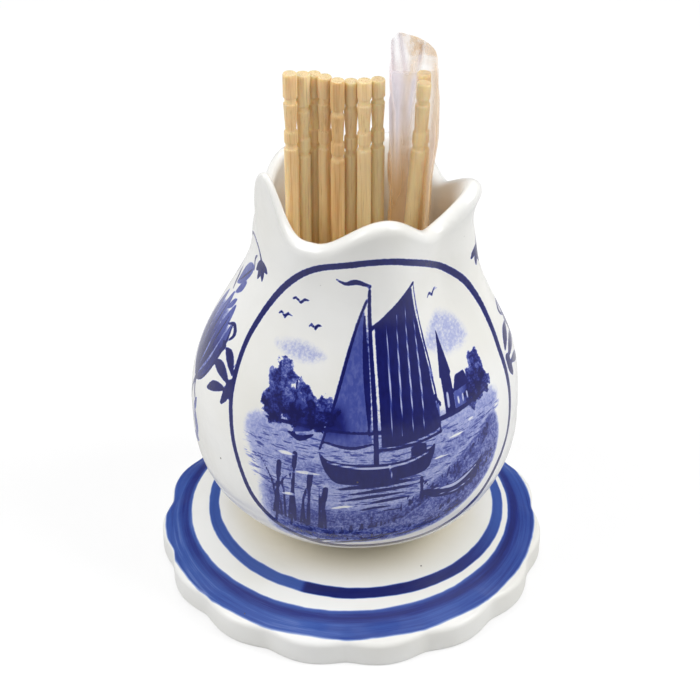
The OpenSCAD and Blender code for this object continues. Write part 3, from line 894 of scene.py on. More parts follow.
# %% White glaze over cobalt
COBALT_SHARES = (0.0, 0.3, 0.55, 0.8, 1.0)
PRINTED_BLUES = ((206, 211, 236), (138, 147, 204), (66, 78, 158), (22, 30, 116), (6, 8, 82))
BANDED_BLUES = ((204, 212, 232), (128, 150, 202), (52, 84, 162), (20, 38, 122), (6, 14, 88))
WHITE, OFF_WHITE, SPECK = (240, 240, 238), (233, 232, 226), (96, 84, 78)
# The inner cream is painted bounce light from the wood; the pooled cream is pooled glaze with painted
# shade.
INNER_BOUNCE_CREAM, POOLED_CREAM_AND_SHADE = (255, 247, 234), (214, 206, 186)
GLAZE_IOR, RIPPLE_DEPTH = 1.42, 0.12


def glaze(name, ink, blues, gloss, tint_and_painted_light, tint_and_light_share):
    """The finish of glazed clay. Ink gives how much cobalt lies under it, and the last argument how
    much of the tint shows in it, both from 0 to 1. The tint is painted bounce light inside the cup,
    and at the foot's waist pooled glaze with painted shade."""
    finish = Finish(name)
    cobalt = ink(finish)
    drift = finish.noise(finish.times(0.05, 0.05, 0.05), detail=3)
    bare = finish.blend(seen(*WHITE), seen(*OFF_WHITE), finish.ease(drift, 0.35, 0.7))
    # The tint is painted light: bounce light inside the cup, and shade with pooled glaze at the foot's
    # waist.
    bare = finish.blend(bare, seen(*tint_and_painted_light), tint_and_light_share(finish))
    stops = [(share, seen(*blue)) for share, blue in zip(COBALT_SHARES, blues)]
    blue = finish.ramp(cobalt, *stops)
    colour = finish.blend(bare, blue, finish.ease(cobalt, 0.01, 0.16))
    sockets = {"Vector": finish.times(0.17, 0.17, 0.17), "Scale": 1.0}
    speck = 1 - finish.ease(finish.node("ShaderNodeTexVoronoi", {}, sockets), 0.018, 0.034)
    colour = finish.blend(colour, seen(*SPECK), speck * 0.8)
    ripple = finish.noise(finish.times(0.3, 0.3, 0.3), detail=2)
    return finish.done({
        "Base Color": colour,
        "Roughness": 0.42 - gloss * 0.3 + drift * 0.1,
        "IOR": GLAZE_IOR,
        "Coat Weight": gloss * 0.3,
        "Coat Roughness": 0.04,
        "Normal": finish.bump(ripple - speck, RIPPLE_DEPTH),
    })


# %% How much cobalt lies under the cup's glaze
def cup_ink(finish):
    navy, cobalt, leafy, spare, wash, deep, ripple = [finish.painted(layer) for layer in LINES + TONES]
    unsteady = (finish.noise(finish.times(2.4, 2.4, 2.4)) - 0.5) * 0.16
    clumps = finish.noise(finish.times(1.0, 1.0, 1.0), detail=3, rough=0.6)
    grain = finish.noise(finish.times(2.6, 2.6, 2.6), detail=4, rough=0.7)
    streak = finish.noise(finish.times(1.6, 1.6, 0.5), detail=3, rough=0.6)
    flow = finish.noise(finish.times(0.5, 0.5, 3.2), detail=3, rough=0.6)
    ink = wash * (0.3 + clumps * 1.45) * (0.7 + finish.ease(grain, 0.35, 0.65) * 0.6)
    ink = finish.most(ink, ripple * finish.ease(flow, 0.49, 0.62) * 0.62)
    leaves = 1 - finish.ease(leafy + (clumps - 0.5) * 2.6, -0.15, 0.25)
    masses = finish.noise(finish.times(0.75, 0.75, 0.75), detail=2)
    shade = finish.ease(masses, 0.38, 0.62) * 0.34 + finish.ease(grain, 0.4, 0.6) * 0.26
    ink = finish.most(ink, leaves * (0.36 + shade + deep * 0.35))
    pressed = 1 - finish.ease(cobalt + unsteady, -0.1, 0.12)
    ink = finish.most(ink, pressed * (0.42 + streak * 0.24 + deep * 0.4))
    lined = 1 - finish.ease(navy + unsteady, -0.07, 0.09)
    ink = finish.most(ink, lined * (0.82 + streak * 0.22))
    return ink * (0.15 + finish.ease(spare, -0.08, 0.08) * 0.85)


# The inside of the cup is painted paler and warmer, a painted bounce of light from the toothpicks.
def cup_inside_bounce(finish):
    return finish.painted("inside")


# %% The cup
cup_glaze = glaze("cup glaze", cup_ink, PRINTED_BLUES, 0.8, INNER_BOUNCE_CREAM, cup_inside_bounce)
wall_points = around(rings[:, 0], bearings, rings[:, 1])
cup = skin("painted_cup", wall_points, [(0, 0, WAIST_Z), (0, 0, FLOOR_Z)], cup_glaze)
store(cup, "inside", ease((rows[:, None] - painted_rings - LIP_ROWS) / 6) + 0 * rings[:, 0])
for layer, values in paint.items():
    store(cup, layer, values, FAR if layer in LINES else 0)
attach(cup, "holder")
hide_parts("tulip_body")

# %% [markdown]
# ## Shapes that follow a rule, as node trees
#
# The foot and the toothpicks are both things that turn round an axis. A grid of points is a good
# start for either: its columns are wrapped round the axis and its rows follow the profile. The
# rule for radius and height is a sum, written in the tree, with the sizes as named inputs.

# %% A tree that wraps a grid round an axis
SHARP_FROM, MERGE_WITHIN = 40, 1e-7


class Turned(Tree):
    """A shape tree: across and along run from 0 to 1 round the axis and along the profile."""

    def __init__(self, name, columns, rows, sizes):
        super().__init__(bpy.data.node_groups.new(name, "GeometryNodeTree"))
        for size, value in sizes.items():
            kind = "NodeSocketVector" if isinstance(value, tuple) else "NodeSocketFloat"
            self.nodes.interface.new_socket(size, in_out="INPUT", socket_type=kind).default_value = value
        self.nodes.interface.new_socket("Shape", in_out="OUTPUT", socket_type="NodeSocketGeometry")
        given = self.nodes.nodes.new("NodeGroupInput")
        self.size = {name: Wire(self, given.outputs[name]) for name in sizes}
        sockets = {"Size X": 1, "Size Y": 1, "Vertices X": columns + 1, "Vertices Y": rows + 1}
        self.shape = self.node("GeometryNodeMeshGrid", {}, sockets)
        x, y, _ = self.parts(self.node("GeometryNodeInputPosition"))
        self.bearing = (x + 0.5) * 360
        self.row = (y + 0.5) * rows

    def keep(self, name, value):
        """Stores a value in the points, for the finish to read."""
        sockets = {"Geometry": self.shape, "Name": name, "Value": value}
        self.shape = self.node("GeometryNodeStoreNamedAttribute", {"data_type": "FLOAT"}, sockets)

    def part(self, first, count):
        """0 before row first, 1 from row first + count on."""
        return self.share(self.row, first, first + count)

    def wrap(self, radius, height):
        """Puts the points on their places, in mm, and closes the seam and the ends."""
        right, back = radius * self.sine(self.bearing), radius * self.cosine(self.bearing) * -1
        sockets = {0: self.vector(right, back, height), "Scale": MM}
        place = self.node("ShaderNodeVectorMath", {"operation": "SCALE"}, sockets)
        self.shape = self.node("GeometryNodeSetPosition", {}, {"Geometry": self.shape, "Position": place})
        sockets = {"Geometry": self.shape, "Distance": MERGE_WITHIN}
        self.shape = self.node("GeometryNodeMergeByDistance", {}, sockets)

    def grow(self, name, sizes={}):
        """The plain mesh that the tree gives for these sizes."""
        start = bpy.data.objects.new("start", bpy.data.meshes.new("start"))
        bpy.context.scene.collection.objects.link(start)
        modifier = start.modifiers.new("shape", "NODES")
        modifier.node_group = self.nodes
        for item in self.nodes.interface.items_tree:
            if item.name in sizes:
                modifier[item.identifier] = sizes[item.name]
        shown = start.evaluated_get(bpy.context.evaluated_depsgraph_get())
        mesh = bpy.data.meshes.new_from_object(shown)
        bpy.data.objects.remove(start)
        mesh.name = name
        mesh.shade_smooth()
        mesh.set_sharp_from_angle(angle=math.radians(SHARP_FROM))
        made = bpy.data.objects.new(name, mesh)
        bpy.context.scene.collection.objects.link(made)
        print(name, "has", len(mesh.polygons), "faces")
        return made

    def end(self, material):
        """Ends the tree in the shape with its finish."""
        self.shape = self.node("GeometryNodeRealizeInstances", {}, {"Geometry": self.shape})
        sockets = {"Geometry": self.shape, "Material": material}
        self.shape = self.node("GeometryNodeSetMaterial", {}, sockets)
        self.node("NodeGroupOutput", {}, {"Shape": self.shape})


# %% [markdown]
# ## The scalloped foot
#
# The foot is a shallow disc, pressed in a mould with fifteen scallops round its edge, and the cup
# is luted on while both are damp. The profile runs from the middle of the hollow underneath, over
# the ring that it stands on, round the fluted edge and up the fillet to the waist. The scallops
# are a rule in the bearing alone, which moves the edge in at each notch.

# %% The foot's tree
SCALLOPS, SCALLOP_COLUMNS = 15, 34
foot_sizes = {
    "Radius": 29.6, "Scallops": float(SCALLOPS), "Scallop depth": 0.9, "First notch": -1.5,
    "Edge height": 4.3, "Edge rounding": 0.9, "Sole rounding": 0.4, "Ring width": 3.2,
    "Hollow side": 2.2, "Hollow middle": 3.8, "Waist radius": WAIST_R, "Waist height": WAIST_Z,
    "Swell": 0.55,
}
DOME, SLANT, SOLE, SOLE_TURN, EDGE, EDGE_TURN, TOP, LID = 8, 3, 4, 4, 8, 7, 62, 3
FOOT_ROWS = DOME + SLANT + SOLE + SOLE_TURN + EDGE + EDGE_TURN + TOP + LID
NOTCH_SOFT, FILLET_SHARE, FILLET_POWER, FADE = 0.05, 0.13, 5, 6

foot_tree = Turned("scalloped foot", SCALLOPS * SCALLOP_COLUMNS, FOOT_ROWS, foot_sizes)
size = foot_tree.size
half_turn = (foot_tree.bearing - size["First notch"]) * size["Scallops"] * 0.5
swell = (foot_tree.sine(half_turn) ** 2 + NOTCH_SOFT) ** 0.5 - NOTCH_SOFT**0.5
swell /= (1 + NOTCH_SOFT) ** 0.5 - NOTCH_SOFT**0.5
edge_r = size["Radius"] - size["Scallop depth"] * (1 - swell)
round_low, round_high = size["Sole rounding"], size["Edge rounding"]
top_edge_r = size["Radius"] - size["Scallop depth"] - round_high
ring_r = size["Radius"] - size["Scallop depth"] - round_low - size["Ring width"]

ends = np.cumsum([0, DOME, SLANT, SOLE, SOLE_TURN, EDGE, EDGE_TURN, TOP]).tolist()
dome, slant, sole, sole_turn, edge, edge_turn, top, lid = [
    foot_tree.part(first, count)
    for first, count in zip(ends, (DOME, SLANT, SOLE, SOLE_TURN, EDGE, EDGE_TURN, TOP, LID))
]
hollow, middle_z = size["Hollow side"], size["Hollow middle"]
scallop = edge_r - round_high - top_edge_r
radius = dome * (ring_r - hollow * 0.5) + slant * hollow * 0.5 + sole * (edge_r - round_low - ring_r)
radius += foot_tree.sine(sole_turn * 90) * round_low
radius -= (1 - foot_tree.cosine(edge_turn * 90)) * round_high
radius -= top * (top_edge_r - size["Waist radius"]) + scallop * foot_tree.ease(top * FADE, 0, 1)
radius -= lid * size["Waist radius"]
height = middle_z - dome**2 * (middle_z - hollow) - slant * hollow
height += (1 - foot_tree.cosine(sole_turn * 90)) * round_low
height += edge * (size["Edge height"] - round_low - round_high)
height += foot_tree.sine(edge_turn * 90) * round_high
height += mix(top, top**FILLET_POWER, FILLET_SHARE) * (size["Waist height"] - size["Edge height"])
height += top * (1 - top) * 4 * size["Swell"]
foot_tree.keep("_to_edge", edge_r - radius)
foot_tree.wrap(radius, height)
print("The foot's tree has", len(foot_tree.nodes.nodes), "nodes")

# %% [markdown]
# The foot's two bands were laid on with a brush held still while the foot turned on a wheel. So
# they are rings, each a little off the middle, and their streaks run round. They could be painted
# like the cup, but a ring is only a distance from a middle. The finish works that out at every
# point, and stays sharp however near one looks. Glaze has pooled round the waist, cream coloured,
# and the cream there is also painted darker as the shade under the belly.

# %% The bands on the foot
NARROW_MIDDLE, NARROW_IN, NARROW_OUT = (0.65, 0.75), (21.2, 21.5), (22.8, 23.1)
WIDE_MIDDLE, WIDE_IN, WIDE_OUT = (-0.3, 0.65), (24.6, 24.9), (28.65, 29.1)
DENSE_IN, DENSE_OUT = (24.9, 25.5), (25.8, 27.0)
DARK_FROM, DARK_TO = (-21, -18), (25, 90)
EDGE_BARE, POOL_AND_SHADE = (0.1, 0.35), (15, 21.5)


def from_middle(finish, right=0, back=0):
    """How many mm out a point of the foot is from a place near its middle."""
    x, y, _ = [part / MM for part in finish.parts(finish.place)]
    return ((x - right) * (x - right) + (y - back) * (y - back)) ** 0.5


def foot_ink(finish):
    """Two bands laid on with the foot turning on a wheel, each a little off the middle."""
    x, y, _ = [part / MM for part in finish.parts(finish.place)]
    out = from_middle(finish)
    unsteady = (finish.noise(finish.times(0.25, 0.25, 0.25)) - 0.5) * 0.35
    streak = finish.noise(finish.vector(out * 2.4, x / out * 2.2, y / out * 2.2), detail=4, rough=0.65)
    broad = finish.noise(finish.times(0.06, 0.06, 0.06), detail=1)

    narrow_r = from_middle(finish, *NARROW_MIDDLE) + unsteady
    narrow = finish.ease(narrow_r, *NARROW_IN) * (1 - finish.ease(narrow_r, *NARROW_OUT))
    bearing = x.math("ARCTAN2", x, y * -1) * math.degrees(1)
    loaded = finish.ease(bearing, *DARK_FROM) * (1 - finish.ease(bearing, *DARK_TO))
    narrow *= 0.58 + loaded * 0.38 + (streak - 0.5) * 0.25

    wide_r = from_middle(finish, *WIDE_MIDDLE) + unsteady
    wide = finish.ease(wide_r, *WIDE_IN) * (1 - finish.ease(wide_r, *WIDE_OUT))
    wide *= finish.ease(finish.painted("_to_edge"), *EDGE_BARE)
    dense = finish.ease(wide_r, *DENSE_IN) * (1 - finish.ease(wide_r, *DENSE_OUT))
    wide *= 0.60 + dense * 0.22 + (streak - 0.5) * 0.5 + (broad - 0.5) * 0.3
    return finish.most(wide, narrow)


# Cream towards the waist: pooled glaze, and painted shade from the belly above.
def foot_pooled_and_shaded(finish):
    return 1 - finish.ease(from_middle(finish), *POOL_AND_SHADE)


# %% The foot
foot_glaze = glaze("foot glaze", foot_ink, BANDED_BLUES, 0.4, POOLED_CREAM_AND_SHADE, foot_pooled_and_shaded)
foot_tree.end(foot_glaze)
foot = foot_tree.grow("scalloped_foot_glazed")
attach(foot, "holder")
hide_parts("scalloped_foot")

# %% [markdown]
# ## The toothpicks
#
# A toothpick like these is turned from bamboo: a tapered point, a plain shaft, and at the head two
# grooves with a tapered barrel and a ring between them. All ten come from one tree. Its radius is
# a sum of soft steps along the axis, one at each edge that the turner's knife leaves, and length,
# cap and place are inputs. Most rows are spent on the head, where the detail is.

# %% The toothpick's tree
PICK_COLUMNS, SHAFT_ROWS, HEAD_ROWS, END_ROWS = 24, 26, 84, 3
HEAD_LEN, CHAMFER, UNEVEN = 14.5, 0.1, 0.03
pick_sizes = {
    "Length": 65.0, "Cap": 3.5, "Diameter": 1.98, "Point": 8.0, "Tip": 0.5, "Groove width": 0.8,
    "Groove diameter": 1.60, "Barrel length": 4.2, "Barrel diameter": 1.50, "Ring width": 1.9,
    "Ring share": 0.85, "Tone and fill": 0.5, "Seed": 0.0, "Place": (0.0, 0.0, 0.0), "Lean": 0.0,
}
PICK_ROWS = END_ROWS + SHAFT_ROWS + HEAD_ROWS + END_ROWS
pick_tree = Turned("turned toothpick", PICK_COLUMNS, PICK_ROWS, pick_sizes)
size = pick_tree.size
length, full = size["Length"], size["Diameter"] * 0.5
groove, thin = size["Groove diameter"] * 0.5, size["Barrel diameter"] * 0.5
bevel = size["Groove width"] * 0.25
height = pick_tree.part(END_ROWS, SHAFT_ROWS) * (length - HEAD_LEN)
height += pick_tree.part(END_ROWS + SHAFT_ROWS, HEAD_ROWS) * HEAD_LEN

cap_z = length - size["Cap"]
barrel_top = cap_z - size["Groove width"]
ring_top = barrel_top - size["Barrel length"]
ring_low = ring_top - size["Ring width"]
shaft_top = ring_low - size["Groove width"]


def above(z):
    """0 below height z and 1 above it, with a bevel between."""
    return pick_tree.ease(height - z, bevel * -0.6, bevel * 0.6)


def cut(z, from_r, to_r):
    """What the radius gains or loses at height z, where the knife steps in or out."""
    return above(z) * (to_r - from_r)


ring_r = mix(thin, full, size["Ring share"])
radius = mix(size["Tip"] * 0.5, full, pick_tree.share(height, 0, size["Point"]))
barrel = mix(thin, full, pick_tree.share(height, ring_top, barrel_top))
radius += cut(shaft_top, full, groove) + cut(ring_low, groove, ring_r) + cut(ring_top, ring_r, barrel)
radius += cut(barrel_top, barrel, groove) + cut(cap_z, groove, full)
radius -= pick_tree.ease(length - height, CHAMFER, 0) * CHAMFER
grain = pick_tree.vector(size["Seed"] * 7, height * 0.12, size["Seed"])
radius *= 1 - UNEVEN / 2 + pick_tree.noise(grain) * UNEVEN
radius *= pick_tree.part(0, END_ROWS) * (1 - pick_tree.part(PICK_ROWS - END_ROWS, END_ROWS))
pick_tree.keep("_cut", above(shaft_top) - above(ring_low) + above(barrel_top) - above(cap_z))
pick_tree.keep("_up", height)
pick_tree.keep("_tone", size["Tone and fill"])
pick_tree.keep("_seed", size["Seed"])
pick_tree.wrap(radius, height)
sockets = {"Scale": MM, 0: size["Place"]}
moved = pick_tree.node("ShaderNodeVectorMath", {"operation": "SCALE"}, sockets)
leaning = pick_tree.vector(0, size["Lean"], 0)
sockets = {"Geometry": pick_tree.shape, "Translation": moved, "Rotation": leaning}
pick_tree.shape = pick_tree.node("GeometryNodeTransform", {}, sockets)
print("The toothpick's tree has", len(pick_tree.nodes.nodes), "nodes")

# %% [markdown]
# Turned bamboo is pale and dry, with long fibres that run to the point, and a little light goes
# into it and comes back warm. An image of wood would show the same on all ten. Noise that is
# drawn out along the axis gives fibres without end. The tree has stored a tone and a seed in the
# points of each toothpick, so each is a stick of its own, with one finish for all. The tone is
# partly the stick's own colour and partly painted fill light: toothpicks that stand in their
# neighbours' shade get a higher tone, paler wood and fainter streaks.

# %% The wood
HEAD_TONES = (216, 180, 128), (255, 228, 180)
SHAFT_TONES = (248, 212, 156), (255, 232, 184)
SHADED_SHAFT, GROOVE_HIGHLIGHT = (255, 214, 140), (252, 228, 178)
# The shaft streak and the orange streak are grain coloured as the painted warm shade inside the cup.
SHAFT_STREAK_AND_SHADE, HEAD_STREAK, BROAD_STREAK = (216, 162, 88), (190, 144, 84), (232, 198, 142)
ORANGE_STREAK_AND_SHADE, DARK_HAIR = (206, 146, 74), (158, 112, 62)
END_GRAIN = (236, 214, 170), (186, 140, 84)
HEAD_FROM, SHADED_UNDER = (40, 62), (33, 47)

wood = Finish("turned bamboo")
tone_and_fill, up, seed = wood.painted("_tone"), wood.painted("_up"), wood.painted("_seed")
x, y, z = wood.parts(wood.place)
fibre_place = wood.vector(x / MM * 5 + seed, y / MM * 5, up * 0.09 + seed * 3)
fibres = wood.noise(fibre_place, detail=4, rough=0.65)
broad = wood.noise(wood.vector(x / MM * 0.9 + seed * 2, y / MM * 0.9, up * 0.035 + seed), detail=2)
hair = wood.ease(wood.noise(wood.vector(x / MM * 14 + seed, y / MM * 14, up * 0.22)), 0.58, 0.72)
handled = wood.ease(up, *HEAD_FROM)
shaded = 1 - wood.ease(up, *SHADED_UNDER)
head, shaft = [wood.blend(seen(*dark), seen(*pale), tone_and_fill) for dark, pale in (HEAD_TONES, SHAFT_TONES)]
# Low down, inside the cup, the shaft is painted warmer, with darker orange streaks: painted shade and
# warm bounce light over the grain.
ripe_and_painted_light = wood.blend(wood.blend(shaft, seen(*SHADED_SHAFT), shaded * 0.8), head, handled)
streaks = wood.blend(seen(*SHAFT_STREAK_AND_SHADE), seen(*HEAD_STREAK), handled)
# Higher tones thin the streaks: painted fill light for toothpicks in their neighbours' shade.
for stain, share in (
    (streaks, wood.ease(fibres, 0.46, 0.72) * (0.95 - tone_and_fill * 0.62)),
    (seen(*BROAD_STREAK), wood.ease(broad, 0.45, 0.7) * (0.6 - tone_and_fill * 0.5)),
    (seen(*ORANGE_STREAK_AND_SHADE), wood.ease(broad, 0.56, 0.72) * (1 - handled) * (0.8 - tone_and_fill * 0.64)),
    (seen(*DARK_HAIR), hair * 0.35),
    # The grooves are painted paler than the wood round them, a painted highlight at their edges.
    (seen(*GROOVE_HIGHLIGHT), wood.painted("_cut") * 0.4),
):
    ripe_and_painted_light = wood.blend(ripe_and_painted_light, stain, share)
_, _, facing_up = wood.parts(wood.node("ShaderNodeNewGeometry", {}, {}, 1))
pores = wood.noise(wood.times(9, 9, 9), detail=3)
end_grain = wood.blend(*[seen(*colour) for colour in END_GRAIN], wood.ease(pores, 0.45, 0.7))
wood_colour = wood.blend(ripe_and_painted_light, end_grain, wood.ease(facing_up, 0.8, 0.95))
pale_wood = wood.done({
    "Base Color": wood_colour,
    "Roughness": 0.5 + fibres * 0.25,
    "Subsurface Weight": 0.8,
    "Subsurface Radius": (1.0, 0.7, 0.4),
    "Subsurface Scale": 1.4 * MM,
    "Normal": wood.bump(fibres + hair * 0.5, 0.05),
})
pick_tree.end(pale_wood)

# %% [markdown]
# The eight loose ones stand in a wavy row across the cup. A physics simulation could drop them
# in, but they would land anywhere. So the row starts at one place and goes on in steps of one
# toothpick and a small gap, each step in its own direction, and every toothpick stands on the
# curved floor under it. No two have quite the same length, cap and tone. The tones of those that
# stand back in the others' shade are raised, as painted fill light.

# %% The places of the toothpicks
PICK_D, PICK_LEN, CAP, TIP = 1.9, 65, 3.5, 0.5
PICK_GAP, SEAT_GAP = 0.15, 0.12
PICK_STEP = PICK_D + PICK_GAP
ROW_START = (-8.3, 0.1)
ROW_TURNS = (35, 42, -45, -32, 27, -28, 26)
ROW_LENGTHS = (1.000, 0.995, 0.988, 0.996, 0.998, 0.990, 0.998, 0.992)
ROW_CAPS = (1.03, 1.33, 0.97, 0.88, 1.24, 0.95, 0.79, 0.73)
# Tones: each stick's own colour, raised for those standing back in shade as painted fill light.
ROW_TONES_AND_FILL = (0.6, 0.95, 1.0, 0.5, 0.1, 0.85, 0.75, 1.0)


def floor_at(r):
    """Height of the cup's floor at radius r."""
    return BELLY_Z - (BELLY_Z - FLOOR_Z) * math.sqrt(1 - (r / (BELLY_R - WALL)) ** 2)


def toothpick(name, node, body, x, y, share, cap, tone_and_fill, lean=0.0, lift=0.0):
    """One toothpick on the floor at x and y; share and cap are of the usual length and cap."""
    z = floor_at(math.hypot(x, y) + TIP / 2) + SEAT_GAP + lift
    sizes = {
        "Length": float(PICK_LEN * share), "Cap": float(CAP * cap), "Tone and fill": float(tone_and_fill),
        "Seed": float(sum(map(ord, name))), "Place": (float(x), float(y), z), "Lean": float(lean),
    }
    made = pick_tree.grow(name, sizes)
    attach(made, body)
    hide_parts(node)


x, y = ROW_START
for i, (share, cap, tone_and_fill) in enumerate(zip(ROW_LENGTHS, ROW_CAPS, ROW_TONES_AND_FILL)):
    if i:
        x += PICK_STEP * math.cos(math.radians(ROW_TURNS[i - 1]))
        y += PICK_STEP * math.sin(math.radians(ROW_TURNS[i - 1]))
    node = f"loose_pick_{i + 1}"
    toothpick(f"toothpick_{i + 1}", node, node, x, y, share, cap, tone_and_fill)
last_x, last_y = x, y
print("The row ends at", round(last_x, 1), round(last_y, 1))

# %% The two toothpicks in the sleeve
SLEEVE_W, SLEEVE_D, FILM, SLEEVE_GAP, TOP_INSET, LEAN_ACROSS = 6.9, 4.9, 0.25, 0.2, 0.5, 4
# The front one's high tone is painted fill light for the shade inside the cup.
FRONT_SHARE, FRONT_CAP, FRONT_TONE_AND_FILL = 0.985, 0.69, 1.0
BACK_SHARE, BACK_CAP, BACK_TONE_AND_FILL = 0.975, 1.05, 0.8

sleeve_x = last_x + PICK_D / 2 + SLEEVE_GAP + SLEEVE_W / 2
sleeve_y = last_y
top_x = sleeve_x + SLEEVE_W / 2 - FILM - PICK_GAP - PICK_D / 2 - TOP_INSET
front_y, back_y = sleeve_y - PICK_STEP / 2, sleeve_y + PICK_STEP / 2
front_len = PICK_LEN * FRONT_SHARE
tilt = math.asin(LEAN_ACROSS / front_len)
front_lift = FILM + TIP / 2 * math.sin(tilt)
print("The front one leans", round(math.degrees(tilt), 1), "degrees")
toothpick("toothpick_front", "sleeved_pick_front", "sleeved_pick_front", top_x - LEAN_ACROSS, front_y,
          FRONT_SHARE, FRONT_CAP, FRONT_TONE_AND_FILL, tilt, front_lift)
toothpick("toothpick_back", "sleeved_pick_back", "sleeved_pick_back", top_x, back_y,
          BACK_SHARE, BACK_CAP, BACK_TONE_AND_FILL, 0.0, FILM)

# %% [markdown]
# ## The clear sleeve
#
# The wrapper is a flat tube of thin film, opened at the top, with the back of its mouth standing
# up as a flap. Film that has been squeezed and let go keeps sharp creases with flat facets
# between them. Cloth simulation gives soft folds, so the creases are drawn instead: each is a line
# on the film, from which the surface falls away on both sides like a tent. Beside the toothpicks
# the film has no room to move, so there the creases are shallow.

# %% The film's loop, mouth and room
LOOP_POWER, MOUTH_Z, CAPS_Z = 5, 81.8, 80.4
FLAP_TOP_Z, FLAP_PEAK_X, FLAP_FALL, FLAP_DROP = 85.5, 6.4, 0.115, 0.6
FLARE, FLARE_FROM = 0.6, 64
FILM_COLUMNS, FILM_ROWS, ROW_CROWDING, FILM_SKIN = 168, 150, 0.8, 0.07
film_turns = np.arange(FILM_COLUMNS) * 360 / FILM_COLUMNS


def loop(half_w, half_d):
    """Points of a flattened loop with round corners, one for each column."""
    sine, cosine = np.sin(np.radians(film_turns)), -np.cos(np.radians(film_turns))
    long = (abs(sine) ** LOOP_POWER + abs(cosine) ** LOOP_POWER) ** (-1 / LOOP_POWER)
    return np.stack([sleeve_x + half_w * sine * long, sleeve_y + half_d * cosine * long], -1)


plain_loop = loop(SLEEVE_W / 2, SLEEVE_D / 2)
half_loop = loop(SLEEVE_W / 4, SLEEVE_D / 4)
ahead, behind = np.roll(plain_loop, -1, 0), np.roll(plain_loop, 1, 0)
outward = np.stack([(ahead - behind)[:, 1], -(ahead - behind)[:, 0]], -1)
outward /= np.hypot(*outward.T)[:, None]
girth = np.cumsum(np.hypot(*(plain_loop - behind).T))
to_back = (plain_loop[:, 1] - sleeve_y) / SLEEVE_D + 0.5
right_of_peak = plain_loop[:, 0] - FLAP_PEAK_X
flap = FLAP_TOP_Z - right_of_peak**2 * np.where(right_of_peak > 0, FLAP_FALL, FLAP_DROP)
mouth = mix(MOUTH_Z, flap, ease(to_back * 1.25 - 0.2))
print("The film is", round(float(girth[-1]), 1), "mm round")
low_z = np.array([floor_at(math.hypot(*p)) for p in plain_loop]) + SEAT_GAP
half_z = np.array([floor_at(math.hypot(*p)) for p in half_loop]) + SEAT_GAP
rise_share = np.linspace(0, 1, FILM_ROWS) ** ROW_CROWDING
film_z = mix(low_z, mouth, rise_share[:, None])

# %% Creases, each a line on the film
CREASES, CREASE_SEED, DEEPEST, SHALLOWEST = 26, 11, 0.62, 0.06
chance = np.random.default_rng(CREASE_SEED)
fold = np.zeros_like(film_z)
crease = np.zeros_like(film_z)


def fold_film(at, top, length, lean, wide, high, shine=0.14):
    """A crease from height top down over length, which moves by lean mm along the film."""
    global fold, crease
    down = (top - film_z) / length
    off = (girth - at - lean * np.clip(down, 0, 1) + girth[-1] * 1.5) % girth[-1] - girth[-1] / 2
    end = np.clip(np.minimum(down * 6 + 0.4, (1 - down) * 1.6), 0, 1)
    fold = np.maximum(fold, np.clip(1 - abs(off) / wide, 0, 1) * end * high)
    # Beside the fold, a narrow band of painted highlight along the crease line.
    crease = np.maximum(crease, np.exp(-((off / shine) ** 2)) * end * high)


for k in range(CREASES):
    fold_film(chance.uniform(0, girth[-1]), chance.uniform(30, 88), chance.uniform(7, 26),
              chance.normal(0, 1.6), chance.uniform(0.7, 2.2), chance.uniform(0.2, 0.8))
front_middle = girth[-1] - sleeve_x
back_middle = girth[np.argmax(to_back)] + sleeve_x
# The creases listed here carry wide painted highlights, the last a painted highlight down the front
# toothpick.
in_front = ((5.3, 6.7, 82, 12, 1.2), (8.3, 7.0, 82, 13, 1.3), (6.1, 6.2, 81, 20, 0.9),
            (4.9, 5.6, 79, 16, 0.8), (11.0, 9.8, 72, 50, 0.8))
on_flap = (6.2, 7.3, 86, 8, 1.0), (5.2, 5.7, 85, 9, 0.8), (9.2, 8.2, 84, 7, 1.1)
for from_x, to_x, top, length, wide in in_front:
    fold_film(front_middle + from_x, top, length, to_x - from_x, wide, 1.0, 0.5)
for from_x, to_x, top, length, wide in on_flap:
    fold_film(back_middle - from_x, top, length, from_x - to_x, wide, 1.0, 0.3)
print("The film has", CREASES + len(in_front) + len(on_flap), "creases")

# %% The film's places, which leave the two toothpicks room
FRONT_FOOT_Z, CLEAR_OF_PICK, CLINGS_FROM, CLINGS_OVER, CAPS_SOFT, LOW_SOFT = 15.5, 0.16, 0.1, 1.3, 1.2, 4


def off_pick(x, y):
    """How far each spot of the film is from a toothpick's side."""
    return np.hypot(spot[..., 0] - x, spot[..., 1] - y) - PICK_D / 2


spot = plain_loop[None] + 0 * film_z[..., None]
to_right = np.clip((plain_loop[:, 0] - sleeve_x) / SLEEVE_W + 0.5, 0, 1)
spot[..., 0] += FLARE * to_right * ease((film_z - FLARE_FROM) / 8)
front_x = top_x - LEAN_ACROSS + LEAN_ACROSS * (film_z - FRONT_FOOT_Z) / front_len
free = np.minimum(off_pick(front_x, front_y), off_pick(top_x, back_y)) - FILM_SKIN - CLEAR_OF_PICK
free = mix(free, 1, ease((film_z - CAPS_Z) / CAPS_SOFT))
room = np.clip(free, SHALLOWEST, DEEPEST)
clear = ease(1 - (free - CLINGS_FROM) / CLINGS_OVER)
inward = room * (1 - fold) * ease((film_z - low_z) / LOW_SOFT)
film_rings = spot - outward * inward[..., None]
inner_rings = film_rings - outward * FILM_SKIN
inner_z = np.maximum(film_z, low_z + FILM_SKIN)
outside = np.concatenate([film_rings, film_z[..., None]], -1)
inside = np.concatenate([inner_rings, inner_z[..., None]], -1)[::-1]
half = np.concatenate([half_loop, half_z[:, None]], -1)[None]
film_places = np.concatenate([half, outside, inside, half + [0, 0, FILM_SKIN]])
print("The film has", film_places.shape[0], "rings of", film_places.shape[1], "points")
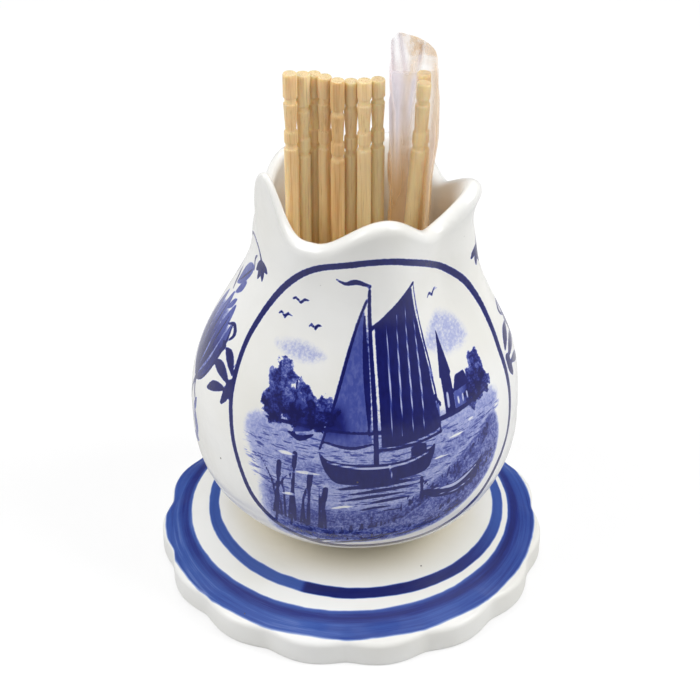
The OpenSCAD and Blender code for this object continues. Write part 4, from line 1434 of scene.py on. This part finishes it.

# %% [markdown]
# Clear film is seen by what it does to light: bright lines along its creases, a haze between
# them, and the warm tone of the wood behind it. It could be glass with true refraction, but so
# thin a skin would turn dark and take long to render. Here it is a glossy surface that lets most
# light through, less at a crease and more where it clings to a toothpick. The bright lines along
# the creases are also painted into its colour as painted highlights, and low down it is tinted
# gold as a painted reflection of the wood.

# %% The film's finish
LILAC, TAN, REFLECTED_GOLD, DEEP_REFLECTED_GOLD = (250, 240, 249), (250, 226, 192), (244, 202, 144), (228, 180, 118)
WARM_SHINE, COLD_SHINE, FLAP_GOLD = (255, 228, 190), (254, 247, 254), (246, 206, 146)
TAN_X, LILAC_Z, COLD_Z, THIN_Z = (6.2, 8.6), (65, 81), (62, 76), (80, 83)
GILT_Z, GILT_EDGE, FILM_IOR = (81.9, 82.6), (40.2, 41.4), 1.5

film = Finish("clear film")
x, y, z = [part / MM for part in film.parts(film.place)]
crease_highlight, wet = film.painted("crease"), film.painted("clear")
haze = film.noise(film.times(0.55, 0.55, 0.11), detail=2)
tan = film.ease(x + (haze - 0.5) * 5, *TAN_X)
high = film.blend(seen(*LILAC), seen(*TAN), tan)
# Low down the film is tinted gold: a painted reflection of the wood, in the shade inside the cup.
low = film.blend(seen(*REFLECTED_GOLD), seen(*DEEP_REFLECTED_GOLD), film.ease(haze, 0.4, 0.65))
film_colour = film.blend(low, high, film.ease(z + (haze - 0.5) * 16, *LILAC_Z))
# Along the creases the colour is painted pale: painted highlights, warm low down where they reflect the
# wood.
shine = film.blend(seen(*WARM_SHINE), seen(*COLD_SHINE), film.ease(z, *COLD_Z))
film_colour = film.blend(film_colour, shine, crease_highlight)
crinkled = film.ease(film.noise(film.times(0.9, 0.9, 0.6), detail=3), 0.34, 0.5)
flap_gold = film.ease(z, *GILT_Z) * film.ease(x + z * 0.4, *GILT_EDGE) * (0.35 + crinkled * 0.65)
film_colour = film.blend(film_colour, seen(*FLAP_GOLD), flap_gold * 0.85)
body = 0.24 + film.ease(haze, 0.35, 0.7) * 0.22 - film.ease(z, *THIN_Z) * 0.16 + flap_gold * 0.28
clear_film = film.done({
    "Base Color": film_colour,
    "Roughness": 0.14 + haze * 0.16,
    "Alpha": body * (1 - wet * 0.8) + crease_highlight * (1 - wet * 0.3) * 0.45,
    "IOR": FILM_IOR,
})

# %% The sleeve
middle_z = floor_at(math.hypot(sleeve_x, sleeve_y)) + SEAT_GAP
poles = [(sleeve_x, sleeve_y, middle_z), (sleeve_x, sleeve_y, middle_z + FILM_SKIN)]
sleeve = skin("clear_sleeve", film_places, poles, clear_film)
for name, values in (("crease", crease), ("clear", clear)):
    store(sleeve, name, np.concatenate([values[:1], values, values[::-1], values[:1]]))
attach(sleeve, "film_sleeve")
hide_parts("film_sleeve")
